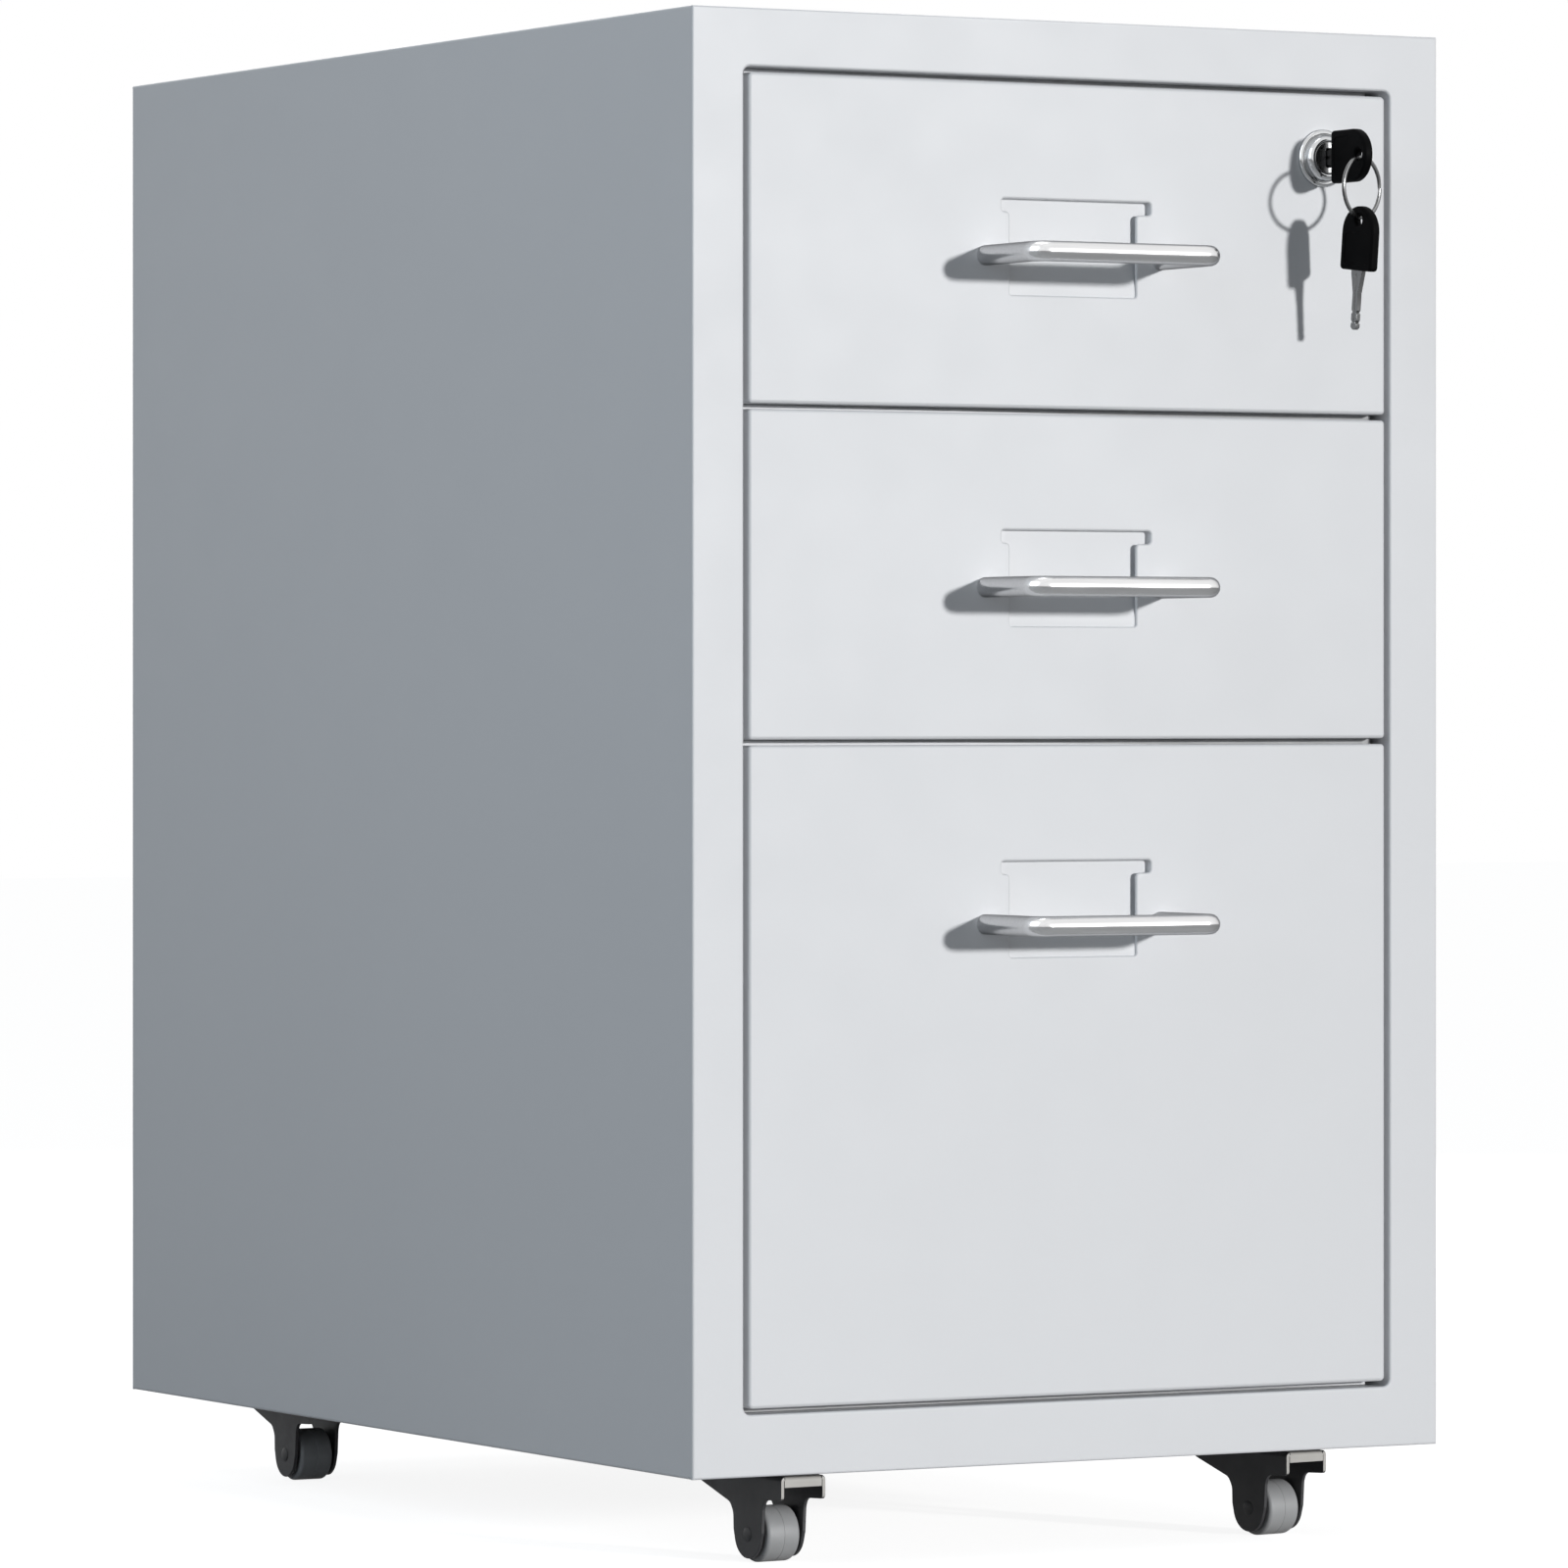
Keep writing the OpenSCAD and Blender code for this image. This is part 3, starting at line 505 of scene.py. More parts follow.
def satin_rod(name, colour, rough):
    """Brushed and plated rod: hair-fine lines along its length."""
    f = Finish(name, colour, rough, 1.0)
    # The dark tint darkens the rod's rims: painted shade
    f.shader.inputs["Specular Tint"].default_value = RIM_SHADE_TINT
    f.set_colour(f.tones(f.noise(900.0, 2.0, stretch=(0.03, 1, 1)), 0.95, 1.04))
    f.set_rough(f.ranged(f.noise(30.0, 3.0, seed=2.0), rough - 0.04, rough + 0.05))
    f.relief(f.noise(1400.0, 2.0, stretch=(0.03, 1, 1), seed=4.0), 0.004)
    return f.material


def bright_plate(name, colour, rough):
    """Polished plating with faint haze and hairlines."""
    f = Finish(name, colour, rough, 1.0)
    # The dark tint darkens the plating's rims: painted shade
    f.shader.inputs["Specular Tint"].default_value = RIM_SHADE_TINT
    f.set_colour(f.tones(f.noise(40.0, 3.0), 0.96, 1.03))
    f.set_rough(f.ranged(f.noise(120.0, 4.0, seed=2.0), max(rough - 0.04, 0.03), rough + 0.06))
    f.relief(f.noise(1600.0, 2.0, stretch=(1, 1, 0.15), seed=4.0), 0.003)
    return f.material


def lacquer(name, colour, rough):
    """Dark dipped lacquer over pressed steel, a little dusty and rubbed."""
    f = Finish(name, colour, rough)
    base = f.tones(f.noise(45.0, 3.0), 0.82, 1.2)
    dust = f.tones(f.noise(300.0, 3.0, seed=3.0), 1.0, 2.4, 0.45, 0.8)
    f.set_colour(f.over(base, dust, f.ranged(f.noise(24.0, 4.0, seed=5.0), 0.0, 0.6, 0.45, 0.75)))
    f.set_rough(f.ranged(f.noise(90.0, 3.0, seed=7.0), rough - 0.07, rough + 0.12))
    f.relief(f.noise(650.0, 2.0, seed=9.0), 0.02)
    return f.material


def moulded(name, colour, rough, grain, height, tone=0.06, gloss=0.5):
    """Injection-moulded plastic with a spark-eroded grain."""
    f = Finish(name, colour, rough)
    f.shader.inputs["Specular IOR Level"].default_value = gloss
    f.set_colour(f.tones(f.noise(60.0, 3.0), 1 - tone, 1 + tone))
    f.set_rough(f.ranged(f.noise(200.0, 3.0, seed=2.0), rough - 0.05, rough + 0.07))
    f.relief(f.noise(grain, 2.0, seed=4.0), height)
    return f.material


FINISHES = {
    "cabinet_paint": powder_coat("cabinet_paint_v", (0.752, 0.761, 0.779), 0.42, 0.018),
    "inner_paint": powder_coat("inner_paint_v", (0.66, 0.69, 0.715), 0.5, 0.022),
    "zinc_steel": zinc("zinc_steel_v", (0.60, 0.61, 0.62), 0.34, 0.08),
    "handle_steel": satin_rod("handle_steel_v", (0.80, 0.80, 0.805), 0.21),
    "chrome": bright_plate("chrome_v", (0.66, 0.67, 0.68), 0.12),
    "key_steel": bright_plate("key_steel_v", (0.28, 0.282, 0.285), 0.24),
    # Darker copy of the key steel for the inserted key's blade: painted shade for the shade on that blade
    "dark_steel": bright_plate("shaded_key_steel_v", (0.11, 0.11, 0.112), 0.3),
    "fork_metal": lacquer("fork_metal_v", (0.045, 0.045, 0.048), 0.36),
    "wheel_plastic": moulded("wheel_plastic_v", (0.40, 0.405, 0.41), 0.46, 900.0, 0.012),
    "black_plastic": moulded("black_plastic_v", (0.003, 0.003, 0.0033), 0.5, 1300.0, 0.01, 0.15, 0.03),
    # Mid-grey for the lips' faces in the gaps between the fronts: painted shade for those gaps
    "seal_rubber": moulded("gap_shade_grey_v", (0.46, 0.465, 0.47), 0.6, 500.0, 0.02),
    # Lighter colour for the fork's lips and upright edges: a painted highlight
    "fork_edge": moulded("fork_edge_v", (0.53, 0.515, 0.485), 0.45, 700.0, 0.01),
    "guide_plastic": moulded("guide_plastic_v", (0.02, 0.02, 0.021), 0.5, 800.0, 0.012, 0.1),
}

SHARP = math.radians(38)


def piece(node, draw, extra=(), sort_face=None, matrix=None, mirrored=False, finish=None):
    """Draws the piece that stands for a CAD node, on that node's body and in its slot's finish."""
    build = Build()
    draw(build)
    bm = build.bm
    if mirrored:
        bm.transform(Matrix.Scale(-1, 4, (1, 0, 0)))
    if matrix is not None:
        bm.transform(matrix)
    bm.transform(Matrix.Scale(MM, 4))
    bmesh.ops.recalc_face_normals(bm, faces=bm.faces)
    for face in bm.faces:
        face.smooth = True
        if sort_face:
            face.material_index = sort_face(face)
    for edge in bm.edges:
        edge.smooth = edge.calc_face_angle(0.0) < SHARP
    mesh = bpy.data.meshes.new(node + "_piece")
    bm.to_mesh(mesh)
    bm.free()
    cad = frame["nodes"][node]
    slot = cad.data.materials[0].name.split(".")[0]
    for name in (finish or slot,) + tuple(extra):
        mesh.materials.append(FINISHES[name])
    obj = bpy.data.objects.new(node + "_piece", mesh)
    bpy.context.scene.collection.objects.link(obj)
    even = obj.modifiers.new("even_normals", "WEIGHTED_NORMAL")
    even.keep_sharp = True
    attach(obj, cad["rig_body"])
    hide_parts(node)
    return obj


# ---- body ----

def front_frame(b):
    outline = rect(-HALF_W, BODY_LOW.z, HALF_W, BODY_HIGH.z)
    opening = rounded(rect(-OPEN_HW, OPEN_Z0, OPEN_HW, OPEN_Z1), CORNER_R, 8)
    outer = b.edge_rings("y", outline, FRONT, 1, 0.95, steps=5)
    outer.append(b.ring("y", outline, FRONT + SHEET))
    inner = b.edge_rings("y", opening, FRONT, 1, 1.0, -1, 5)
    inner.append(b.ring("y", opening, FRONT + FRAME_RETURN))
    grown = moved(opening, -SHEET)
    inner.append(b.ring("y", grown, FRONT + FRAME_RETURN))
    inner.append(b.ring("y", grown, FRONT + SHEET))
    b.skin(outer)
    b.skin(inner)
    b.cap([outer[0], inner[0]])
    b.cap([outer[-1], inner[-1]])
    flange_hw = INNER_HW - PANEL_FLANGE - 0.3
    y0, y1 = FRONT + SHEET, FRONT + SHEET + PANEL_FLANGE
    for z in (BODY_LOW.z, BODY_HIGH.z - 2 * SHEET):
        b.box((-flange_hw, y0, z), (flange_hw, y1, z + SHEET), 0.1)


def side_panel(b):
    """Skin with an open hem along its lower edge, and a flange at the front, the back and the top."""
    low, high = box_mm("right_side_panel")
    hem_x = HALF_W - 2.4
    path = [(HALF_W, high.z), (HALF_W, low.z), (hem_x, low.z), (hem_x, low.z + 5.6)]
    b.fold("y", path, -SHEET, low.y, high.y, 1.15)
    flange_x = INNER_HW - PANEL_FLANGE
    z0 = low.z + 6.2
    b.box((flange_x, low.y, z0), (INNER_HW, low.y + SHEET, high.z), 0.2)
    b.box((flange_x, high.y - SHEET, z0), (INNER_HW, high.y, high.z), 0.2)
    b.box((flange_x, low.y + PANEL_FLANGE + SHEET, high.z - SHEET), (INNER_HW, high.y - SHEET, high.z), 0.2)


def top_panel(b):
    low, high = box_mm("top_panel")
    section = rounded(rect(low.x, low.z, high.x, high.z), [0, 0, 0.9, 0.9], 5)
    b.plate("y", section, low.y, high.y, (0, 0.08))


def back_panel(b):
    low, high = box_mm("back_panel")
    b.plate("y", rect(low.x, low.z, high.x, high.z), low.y, high.y, (0, 0.5))


def base_panel(b):
    low, high = box_mm("base_panel")
    path = [(low.x, high.z), (low.x, low.z), (high.x, low.z), (high.x, high.z)]
    b.fold("y", path, BASE_T, low.y, high.y, 1.9)


def slide_posts(b):
    """Two hat channels, bent from strip, that carry one side's slides."""
    low, high = box_mm("right_slide_posts")
    t = BASE_T
    for y in (low.y + POST_FOOT, high.y - POST_FOOT - POST_W):
        path = [
            (high.x, y - POST_FOOT), (high.x, y + t), (low.x + t, y + t),
            (low.x + t, y + POST_W - t), (high.x, y + POST_W - t), (high.x, y + POST_W + POST_FOOT),
        ]
        b.fold("z", path, t, low.z, high.z, [0, 1.7, 0.8, 0.8, 1.7, 0])


piece("front_frame", front_frame)
piece("right_side_panel", side_panel)
piece("left_side_panel", side_panel, mirrored=True)
piece("top_panel", top_panel)
piece("back_panel", back_panel)
piece("base_panel", base_panel)
piece("right_slide_posts", slide_posts)
piece("left_slide_posts", slide_posts, mirrored=True)


# ---- slides ----

def channel(b, side, web_x, edge_x, half_h, y0, y1, z):
    """A slide member, rolled from strip, on the right (1) or the left (-1)."""
    path = [
        (side * edge_x, z + half_h), (side * web_x, z + half_h),
        (side * web_x, z - half_h), (side * edge_x, z - half_h),
    ]
    outwards = side if web_x > edge_x else -side
    b.fold("y", path, -outwards * RAIL_T, y0, y1, 2.2, 6)


def slide_centre(drawer):
    low, high = box_mm(drawer + "_cabinet_rails")
    return (low.z + high.z) / 2


def rivet(b, side, x, y, z, radius=3.0):
    """Low round rivet head on a slide's web, facing the middle."""
    profile = [(0, 0), (radius, 0), (radius, 0.12), (0.7 * radius, 0.34), (0, 0.38)]
    b.lathe("x", (side * x, y, z), [(r, -side * w) for r, w in profile], 20)


def cabinet_rails(drawer):
    def draw(b):
        low, high = box_mm(drawer + "_cabinet_rails")
        z = slide_centre(drawer)
        for side in (-1, 1):
            channel(b, side, OPEN_HW, RAIL_EDGE_X, SLIDE_HALF_H, low.y, high.y, z)
    return draw


def sliding_rails(drawer):
    def draw(b):
        low, high = box_mm(drawer + "_sliding_rails")
        z = slide_centre(drawer)
        for side in (-1, 1):
            channel(b, side, OPEN_HW - RAIL_INSET, RAIL_EDGE_X, SLIDE_HALF_H - RAIL_INSET, low.y, high.y, z)
    return draw


def drawer_rails(drawer):
    def draw(b):
        low, high = box_mm(drawer + "_drawer_rails")
        z = slide_centre(drawer)
        half_h = SLIDE_HALF_H - 2 * RAIL_INSET
        catch_y = low.y + 8.0
        for side in (-1, 1):
            channel(b, side, TRAY_HW, OPEN_HW - 2 * RAIL_INSET - RAIL_GAP, half_h, low.y, high.y, z)
        b.box((TRAY_HW, catch_y, z + half_h - 0.5), (TRAY_HW + RAIL_T, catch_y + 12, high.z), 0.25)
        b.box((TRAY_HW, catch_y, high.z - 6), (high.x, catch_y + 2, high.z), 0.4)
    return draw


for name in DRAWERS:
    piece(name + "_cabinet_rails", cabinet_rails(name))
    piece(name + "_sliding_rails", sliding_rails(name))
    piece(name + "_drawer_rails", drawer_rails(name))


# ---- drawers ----

def label_outline(top_z):
    """Window with the wider card slot across its top."""
    slot_x0 = LABEL_SLOT_SHIFT - LABEL_SLOT_HW
    slot_x1 = LABEL_SLOT_SHIFT + LABEL_SLOT_HW
    points = [
        (-LABEL_WINDOW_HW, top_z - LABEL_H), (LABEL_WINDOW_HW, top_z - LABEL_H),
        (LABEL_WINDOW_HW, top_z - LABEL_SLOT_H), (slot_x1, top_z - LABEL_SLOT_H),
        (slot_x1, top_z), (slot_x0, top_z),
        (slot_x0, top_z - LABEL_SLOT_H), (-LABEL_WINDOW_HW, top_z - LABEL_SLOT_H),
    ]
    return rounded(points, [0.8, 0.8, 1.8, 1.2, 1.2, 1.2, 1.2, 1.8], 5)


def drawer_front(drawer):
    """Folded double-skinned front: rounded face edges, cut-outs through the face and a liner behind."""
    def draw(b):
        low, high = front_box(drawer)
        short = high.x - FRONT_R - SHEET
        lips = [(high.z - SHEET, high.z + LIP_REACH_H, short if drawer == "upper" else high.x - DUST_LIP_GAP)]
        if drawer == "lower":
            lips.append((low.z - LIP_REACH_H, low.z + SHEET, short))
        lip_y = low.y + DUST_LIP_DEPTH
        fold_r = 1.3
        small = 1.6
        bottom_r = FRONT_R if drawer == "lower" else small
        top_r = FRONT_R if drawer == "upper" else small
        outline = rounded(rect(low.x, low.z, high.x, high.z), [bottom_r, bottom_r, top_r, top_r], 6)
        inside = moved(outline, SHEET)
        outer = b.edge_rings("y", outline, low.y, 1, fold_r, steps=5)
        outer += b.edge_rings("y", outline, high.y, -1, 0.4)[::-1]
        b.skin(outer)
        for z0, z1, half in lips:
            b.box((-half, lip_y, z0), (half, lip_y + SHEET, z1), 0.2)
        inner = [b.ring("y", inside, low.y + SHEET), b.ring("y", inside, high.y - SHEET)]
        b.skin(inner)
        front_face, back_of_face = [outer[0]], [inner[0]]
        liner_in, liner_out = [inner[1]], [outer[-1]]
        holes = [label_outline(high.z - LABEL_DROP)]
        handle_z = sum(corner.z for corner in box_mm(drawer + "_handle")) / 2
        holes += [circle(x, handle_z, 2.2, 20) for x in (-HANDLE_HALF, HANDLE_HALF)]
        if drawer == "upper":
            lock_hole = circle(LOCK.x, LOCK.z, LOCK_HOLE_R, 48)
            holes.append(lock_hole)
            through = [b.ring("y", lock_hole, high.y - SHEET), b.ring("y", lock_hole, high.y)]
            b.skin(through)
            liner_in.append(through[0])
            liner_out.append(through[1])
        for hole in holes:
            rings = b.edge_rings("y", hole, low.y, 1, 0.9 if hole is holes[0] else 0.3, -1, 5)
            rings.append(b.ring("y", hole, low.y + SHEET))
            b.skin(rings)
            front_face.append(rings[0])
            back_of_face.append(rings[-1])
        for rings in (front_face, back_of_face, liner_in, liner_out):
            b.cap(rings)
    return draw


def on_gap_shade(drawer):
    """Picks the faces of the lips that stand in the gaps over and under a front; they take a mid-grey painted
    shade.
    """
    low, high = (corner * MM for corner in front_box(drawer))
    clear = 0.1 * MM

    def pick(face):
        return 0 if low.z - clear < face.calc_center_median().z < high.z + clear else 1
    return pick


def label_pocket(drawer):
    """Pressed pan behind the cut-out: deep behind the slot, and sloping up to the face below it."""
    def draw(b):
        low, high = box_mm(drawer + "_label_pocket")
        outline = rounded(rect(low.x, low.z, high.x, high.z), 1.5, 5)
        inside = moved(outline, SHEET)
        deep_y = high.y - SHEET
        slope_z0 = low.z + LABEL_FLUSH_H
        slope_z1 = slope_z0 + LABEL_SLOPE_H
        rim = b.ring("y", outline, low.y)
        back = b.ring("y", outline, high.y)
        lip = b.ring("y", inside, low.y)
        wall = [lip] + b.edge_rings("y", inside, deep_y, -1, 0.6, steps=4)[::-1]
        b.skin([rim, back])
        b.skin(wall)
        b.cap([back])
        b.cap([rim, lip])
        b.cap([wall[-1]])
        b.cut("z", slope_z0)
        b.cut("z", slope_z1)
        for vert in b.bm.verts:
            if low.y + 0.01 < vert.co.y < high.y - 0.01:
                rise = min(max((slope_z1 - vert.co.z) / (slope_z1 - slope_z0), 0), 1)
                vert.co.y += (low.y + 0.05 - vert.co.y) * rise
    return draw


def tray_section(z0, z1, right_top=None):
    """Across the tray: hem, wall, floor, wall, hem. right_top cuts the right wall down, without a hem."""
    left = [(-TRAY_HW + HEM_W, z1 - HEM_H), (-TRAY_HW + HEM_W, z1), (-TRAY_HW, z1), (-TRAY_HW, z0)]
    radii = [0, 1.4, 1.4, 2.4]
    if right_top is not None:
        return left + [(TRAY_HW, z0), (TRAY_HW, right_top)], radii + [2.4, 0]
    right = [(-x, z) for x, z in reversed(left)]
    return left + right, radii + radii[::-1]


def tray(drawer):
    def draw(b):
        low, high = box_mm(drawer + "_tray")
        start = low.y
        if drawer == "upper":
            cam_notch_y = box_mm("lock_cam")[1].y + 4.0
            notch_z = box_mm("lock_cam")[0].z - 5.0
            path, radii = tray_section(low.z, high.z, notch_z)
            b.fold("y", path, SHEET, start, cam_notch_y, radii)
            start = cam_notch_y
        path, radii = tray_section(low.z, high.z)
        b.fold("y", path, SHEET, start, high.y - SHEET, radii)
        back = [(high.y - HEM_W, high.z - HEM_H), (high.y - HEM_W, high.z), (high.y, high.z), (high.y, low.z)]
        b.fold("x", back, -SHEET, -TRAY_HW, TRAY_HW, [0, 1.4, 1.4, 0])
    return draw


def handle(drawer):
    """Bent rod: legs, tight bends and bar, as one smooth sweep."""
    def draw(b):
        low, high = box_mm(drawer + "_handle")
        z = (low.z + high.z) / 2
        bar_y = low.y + HANDLE_R
        path = [(-HANDLE_HALF, FRONT), (-HANDLE_HALF, bar_y), (HANDLE_HALF, bar_y), (HANDLE_HALF, FRONT)]
        line = rounded(path, HANDLE_BEND, 14, closed=False)
        b.tube([(p.x, p.y, z) for p in line], HANDLE_R, 40)
    return draw


def handle_screws(drawer):
    def draw(b):
        low, high = box_mm(drawer + "_handle_screws")
        z = (low.z + high.z) / 2
        for x in (-HANDLE_HALF, HANDLE_HALF):
            b.tube([(x, low.y, z), (x, FRONT + SHEET, z)], 1.9, 16)
            b.screw_head("y", (x, FRONT + SHEET, z), 3.5, 2.0, 1)
    return draw


def file_bars(b):
    low, high = box_mm("file_bars")
    bar_w = 12.0
    lip_x = TRAY_HW - HEM_W - 0.3
    for y in (low.y, high.y - bar_w):
        b.box((low.x, y, high.z - 3), (high.x, y + bar_w, high.z), 0.8, 3)
        for side in (-1, 1):
            x0, x1 = sorted((side * (lip_x - 3), side * lip_x))
            b.box((x0, y, low.z), (x1, y + bar_w, high.z - 2.5), 0.6)


for name in DRAWERS:
    # The lips' faces in the gaps take the mid-grey painted shade
    piece(name + "_drawer_front", drawer_front(name), extra=("seal_rubber",), sort_face=on_gap_shade(name))
    piece(name + "_label_pocket", label_pocket(name))
    piece(name + "_tray", tray(name))
    piece(name + "_handle", handle(name))
    piece(name + "_handle_screws", handle_screws(name))
piece("file_bars", file_bars)


# ---- lock ----

def facing(profile):
    """Turns (radius, place in front of the drawer's face) into places along +Y."""
    return [(r, -w) for r, w in profile]


def lock_housing(b):
    bore = PLUG_R + 0.05
    profile = [
        (bore, -BARREL_LEN), (BARREL_R - 0.4, -BARREL_LEN), (BARREL_R, -BARREL_LEN + 0.4), (BARREL_R, 0),
        (11.5, 0), (11.5, 0.7), (11.35, 1.15), (10.95, 1.55), (10.4, 1.8), (9.9, 1.85), (9.65, 1.7),
        (9.45, 1.7), (9.25, 1.95), (9.15, 2.7), (8.95, 3.5), (8.55, 4.2), (7.95, 4.75), (7.35, 5.0),
        (6.95, 4.95), (6.65, 4.7), (bore, 4.3),
    ]
    b.lathe("y", LOCK, facing(profile), 96, closed=True)


def lock_plug(b):
    low, high = box_mm("lock_plug")
    keyway = rect(LOCK.x - 1.2, LOCK.z - 3.7, LOCK.x + 1.2, LOCK.z + 3.7)
    face = circle(LOCK.x, LOCK.z, PLUG_R, 72)
    depth = FRONT + 13.4
    b.plate("y", face, low.y, depth, (0.35, 0), holes=[rounded(keyway, 0.4, 3)], steps=4)
    b.lathe("y", (LOCK.x, 0, LOCK.z), [(0, depth), (PLUG_R, depth), (PLUG_R, high.y), (0, high.y)], 48)


def lock_cam(b):
    low, high = box_mm("lock_cam")
    half = 5.0
    left, right, tip_z = LOCK.x - half, LOCK.x + half, LOCK.z - 5.0
    hub = [p for p in circle(LOCK.x, LOCK.z, PLUG_R, 40) if p.y > LOCK.z - 3.9]
    tip = [(left, tip_z), (left, low.z), (right, low.z), (right, tip_z)]
    start = max(range(len(hub)), key=lambda i: hub[i].x - 0.2 * abs(hub[i].y - LOCK.z + 3.9))
    order = sorted(hub, key=lambda p: math.atan2(p.y - LOCK.z, p.x - LOCK.x) % (2 * math.pi))
    low_side = [p for p in order if math.atan2(p.y - LOCK.z, p.x - LOCK.x) < 0 and p.x > LOCK.x]
    order = low_side + [p for p in order if p not in low_side]
    outline = order + rounded(tip, [0, 1.5, 1.5, 0], 4)
    b.plate("y", outline, low.y, high.y, 0.25, holes=[circle(LOCK.x, LOCK.z, 1.6, 24)])


def lock_cam_screw(b):
    low, high = box_mm("lock_cam_screw")
    head_y = high.y - 1.8
    b.tube([(LOCK.x, low.y, LOCK.z), (LOCK.x, head_y, LOCK.z)], 1.45, 20)
    b.screw_head("y", (LOCK.x, head_y, LOCK.z), 3.0, 1.8, 1)


def lock_nut(b):
    low, high = box_mm("lock_nut")
    hexagon = circle(LOCK.x, LOCK.z, (high.x - low.x) / 2, 6)
    b.plate("y", hexagon, low.y, high.y, 0.4, holes=[circle(LOCK.x, LOCK.z, BARREL_R + 0.05, 48)])


# A key is drawn in the YZ plane, with its bow's base at the origin and its blade along +Y
def bow(b):
    end = BOW_R - BOW_LEN
    turns = [math.pi / 2 + math.pi * k / 28 for k in range(29)]
    outline = [Vector((end + BOW_R * math.cos(t), BOW_R * math.sin(t))) for t in turns]
    base = [outline[-1], (0, -BOW_R), (0, BOW_R), outline[0]]
    outline += rounded(base, [0, 1.6, 1.6, 0], 5, closed=False)[1:-1]
    hole = circle(KEY_HOLE_IN - BOW_LEN, 0, KEY_HOLE_R, 32)
    field = rounded(rect(-BOW_LEN + 10.5, -BOW_R + 2.6, -2.2, BOW_R - 2.6), 2.4, 5)
    half = BOW_T / 2
    b.plate("x", outline, -half, half, 1.1, holes=[hole], recesses=[(field, 0.25)], steps=5)


def blade(b):
    wide, thin, tip = KEY_BLADE_W / 2, 1.8, 0.6
    length = KEY_BLADE_LEN
    half = KEY_BLADE_T / 2
    outline = [
        (-0.2, -wide), (1, -wide), (9, -thin), (length - 7.8, -thin), (length - 7.0, -thin + 0.75),
        (length - 6.2, -thin), (length - 3.8, -thin), (length - 3.0, -thin + 0.75), (length - 2.2, -thin),
        (length - 1, -thin), (length, -tip), (length, tip), (length - 1, thin), (length - 2.2, thin),
        (length - 3.0, thin - 0.75), (length - 3.8, thin), (length - 6.2, thin),
        (length - 7.0, thin - 0.75), (length - 7.8, thin), (9, thin), (1, wide), (-0.2, wide),
    ]
    groove = rect(1.2, -0.55, length - 2.4, 0.55)
    b.plate("x", [Vector(p) for p in outline], -half, half, 0.15, recesses=[(rounded(groove, 0.5, 4), 0.35)])


def key_ring(b):
    """Split ring: two turns of flattened wire side by side, which cross over in one place."""
    steps = 160
    half_wide, half_thick, apart = 0.72, 0.34, 0.36
    centre = (joint_anchor("key_ring_swing") + joint_anchor("spare_key_swing")) / 2
    along = Vector(next(j for j in frame["joints"] if j["name"] == "key_ring_swing")["axis"])
    across = along.cross(Vector((0, 0, 1)))
    rows = []
    for k in range(steps + 1):
        turn = 4 * math.pi * k / steps
        shift = min(max((k / steps - 0.46) / 0.08, 0), 1)
        shift = apart * (2 * shift * shift * (3 - 2 * shift) - 1)
        around = along * math.cos(turn) + Vector((0, 0, 1)) * math.sin(turn)
        row = []
        for p in circle(0, 0, 1, 12):
            radius = RING_R + half_wide * p.x
            row.append(b.bm.verts.new(centre + around * radius + across * (shift + half_thick * p.y)))
        rows.append(row)
    b.skin(rows)
    b.cap([rows[0]])
    b.cap([rows[-1]])


def spare_place():
    """Where the spare key hangs: below the ring, turned and tilted as in the CAD."""
    wire_drop, spare_turn, spare_tilt = 1.0, 3.0, 6.0
    return (
        Matrix.Translation(joint_anchor("spare_key_swing"))
        @ Matrix.Rotation(math.radians(spare_turn), 4, "Z")
        @ Matrix.Rotation(math.radians(spare_tilt), 4, "X")
        @ Matrix.Translation((0, 0, -wire_drop - BOW_LEN + KEY_HOLE_IN))
        @ Matrix.Rotation(math.radians(-90), 4, "X")
    )


key_place = Matrix.Translation((LOCK.x, FRONT - KEY_STANDOUT, LOCK.z))
piece("lock_housing", lock_housing)
piece("lock_plug", lock_plug, finish="key_steel")
piece("lock_cam", lock_cam)
piece("lock_cam_screw", lock_cam_screw)
piece("lock_nut", lock_nut)
piece("key_bow", bow, matrix=key_place)
# The inserted blade takes the darker copy of the key steel, painted shade
piece("key_blade", blade, matrix=key_place, finish="dark_steel")
piece("key_ring", key_ring, finish="key_steel")
piece("spare_key_bow", bow, matrix=spare_place())
piece("spare_key_blade", blade, matrix=spare_place(), finish="key_steel")


# ---- locking bar ----

HOOK_INSET = 4.0
HOOK_H = 8.5


def lock_bar(b):
    low, high = box_mm("lock_bar")
    bar_t, bar_w, foot_t = 2.0, 16.0, 2.5
    x1 = high.x
    x0 = x1 - bar_t
    y1 = high.y
    y0 = y1 - bar_w
    hook_y0 = y0 + HOOK_INSET
    b.box((x0, y0, low.z), (x1, y1, high.z), 0.4)
    b.box((low.x, low.y, high.z - foot_t), (x0 + 0.5, hook_y0, high.z), 0.4)
    b.box((x0, low.y, high.z - foot_t), (x1, y0 + 0.5, high.z), 0.4)


def hook_top(drawer):
    return box_mm(drawer + "_drawer_rails")[1].z - 6 - 1.5


def lock_bar_hooks(b):
    """Sloped catches, one for each drawer, on the bar's inner face."""
    low, high = box_mm("lock_bar_hooks")
    for drawer in DRAWERS:
        top = hook_top(drawer)
        outline = [(low.x, top - HOOK_H), (high.x, top - HOOK_H), (high.x, top), (high.x - 4.8, top)]
        b.plate("y", rounded(outline, [0.5, 0, 0, 0.8], 4), low.y, high.y, 0.4)


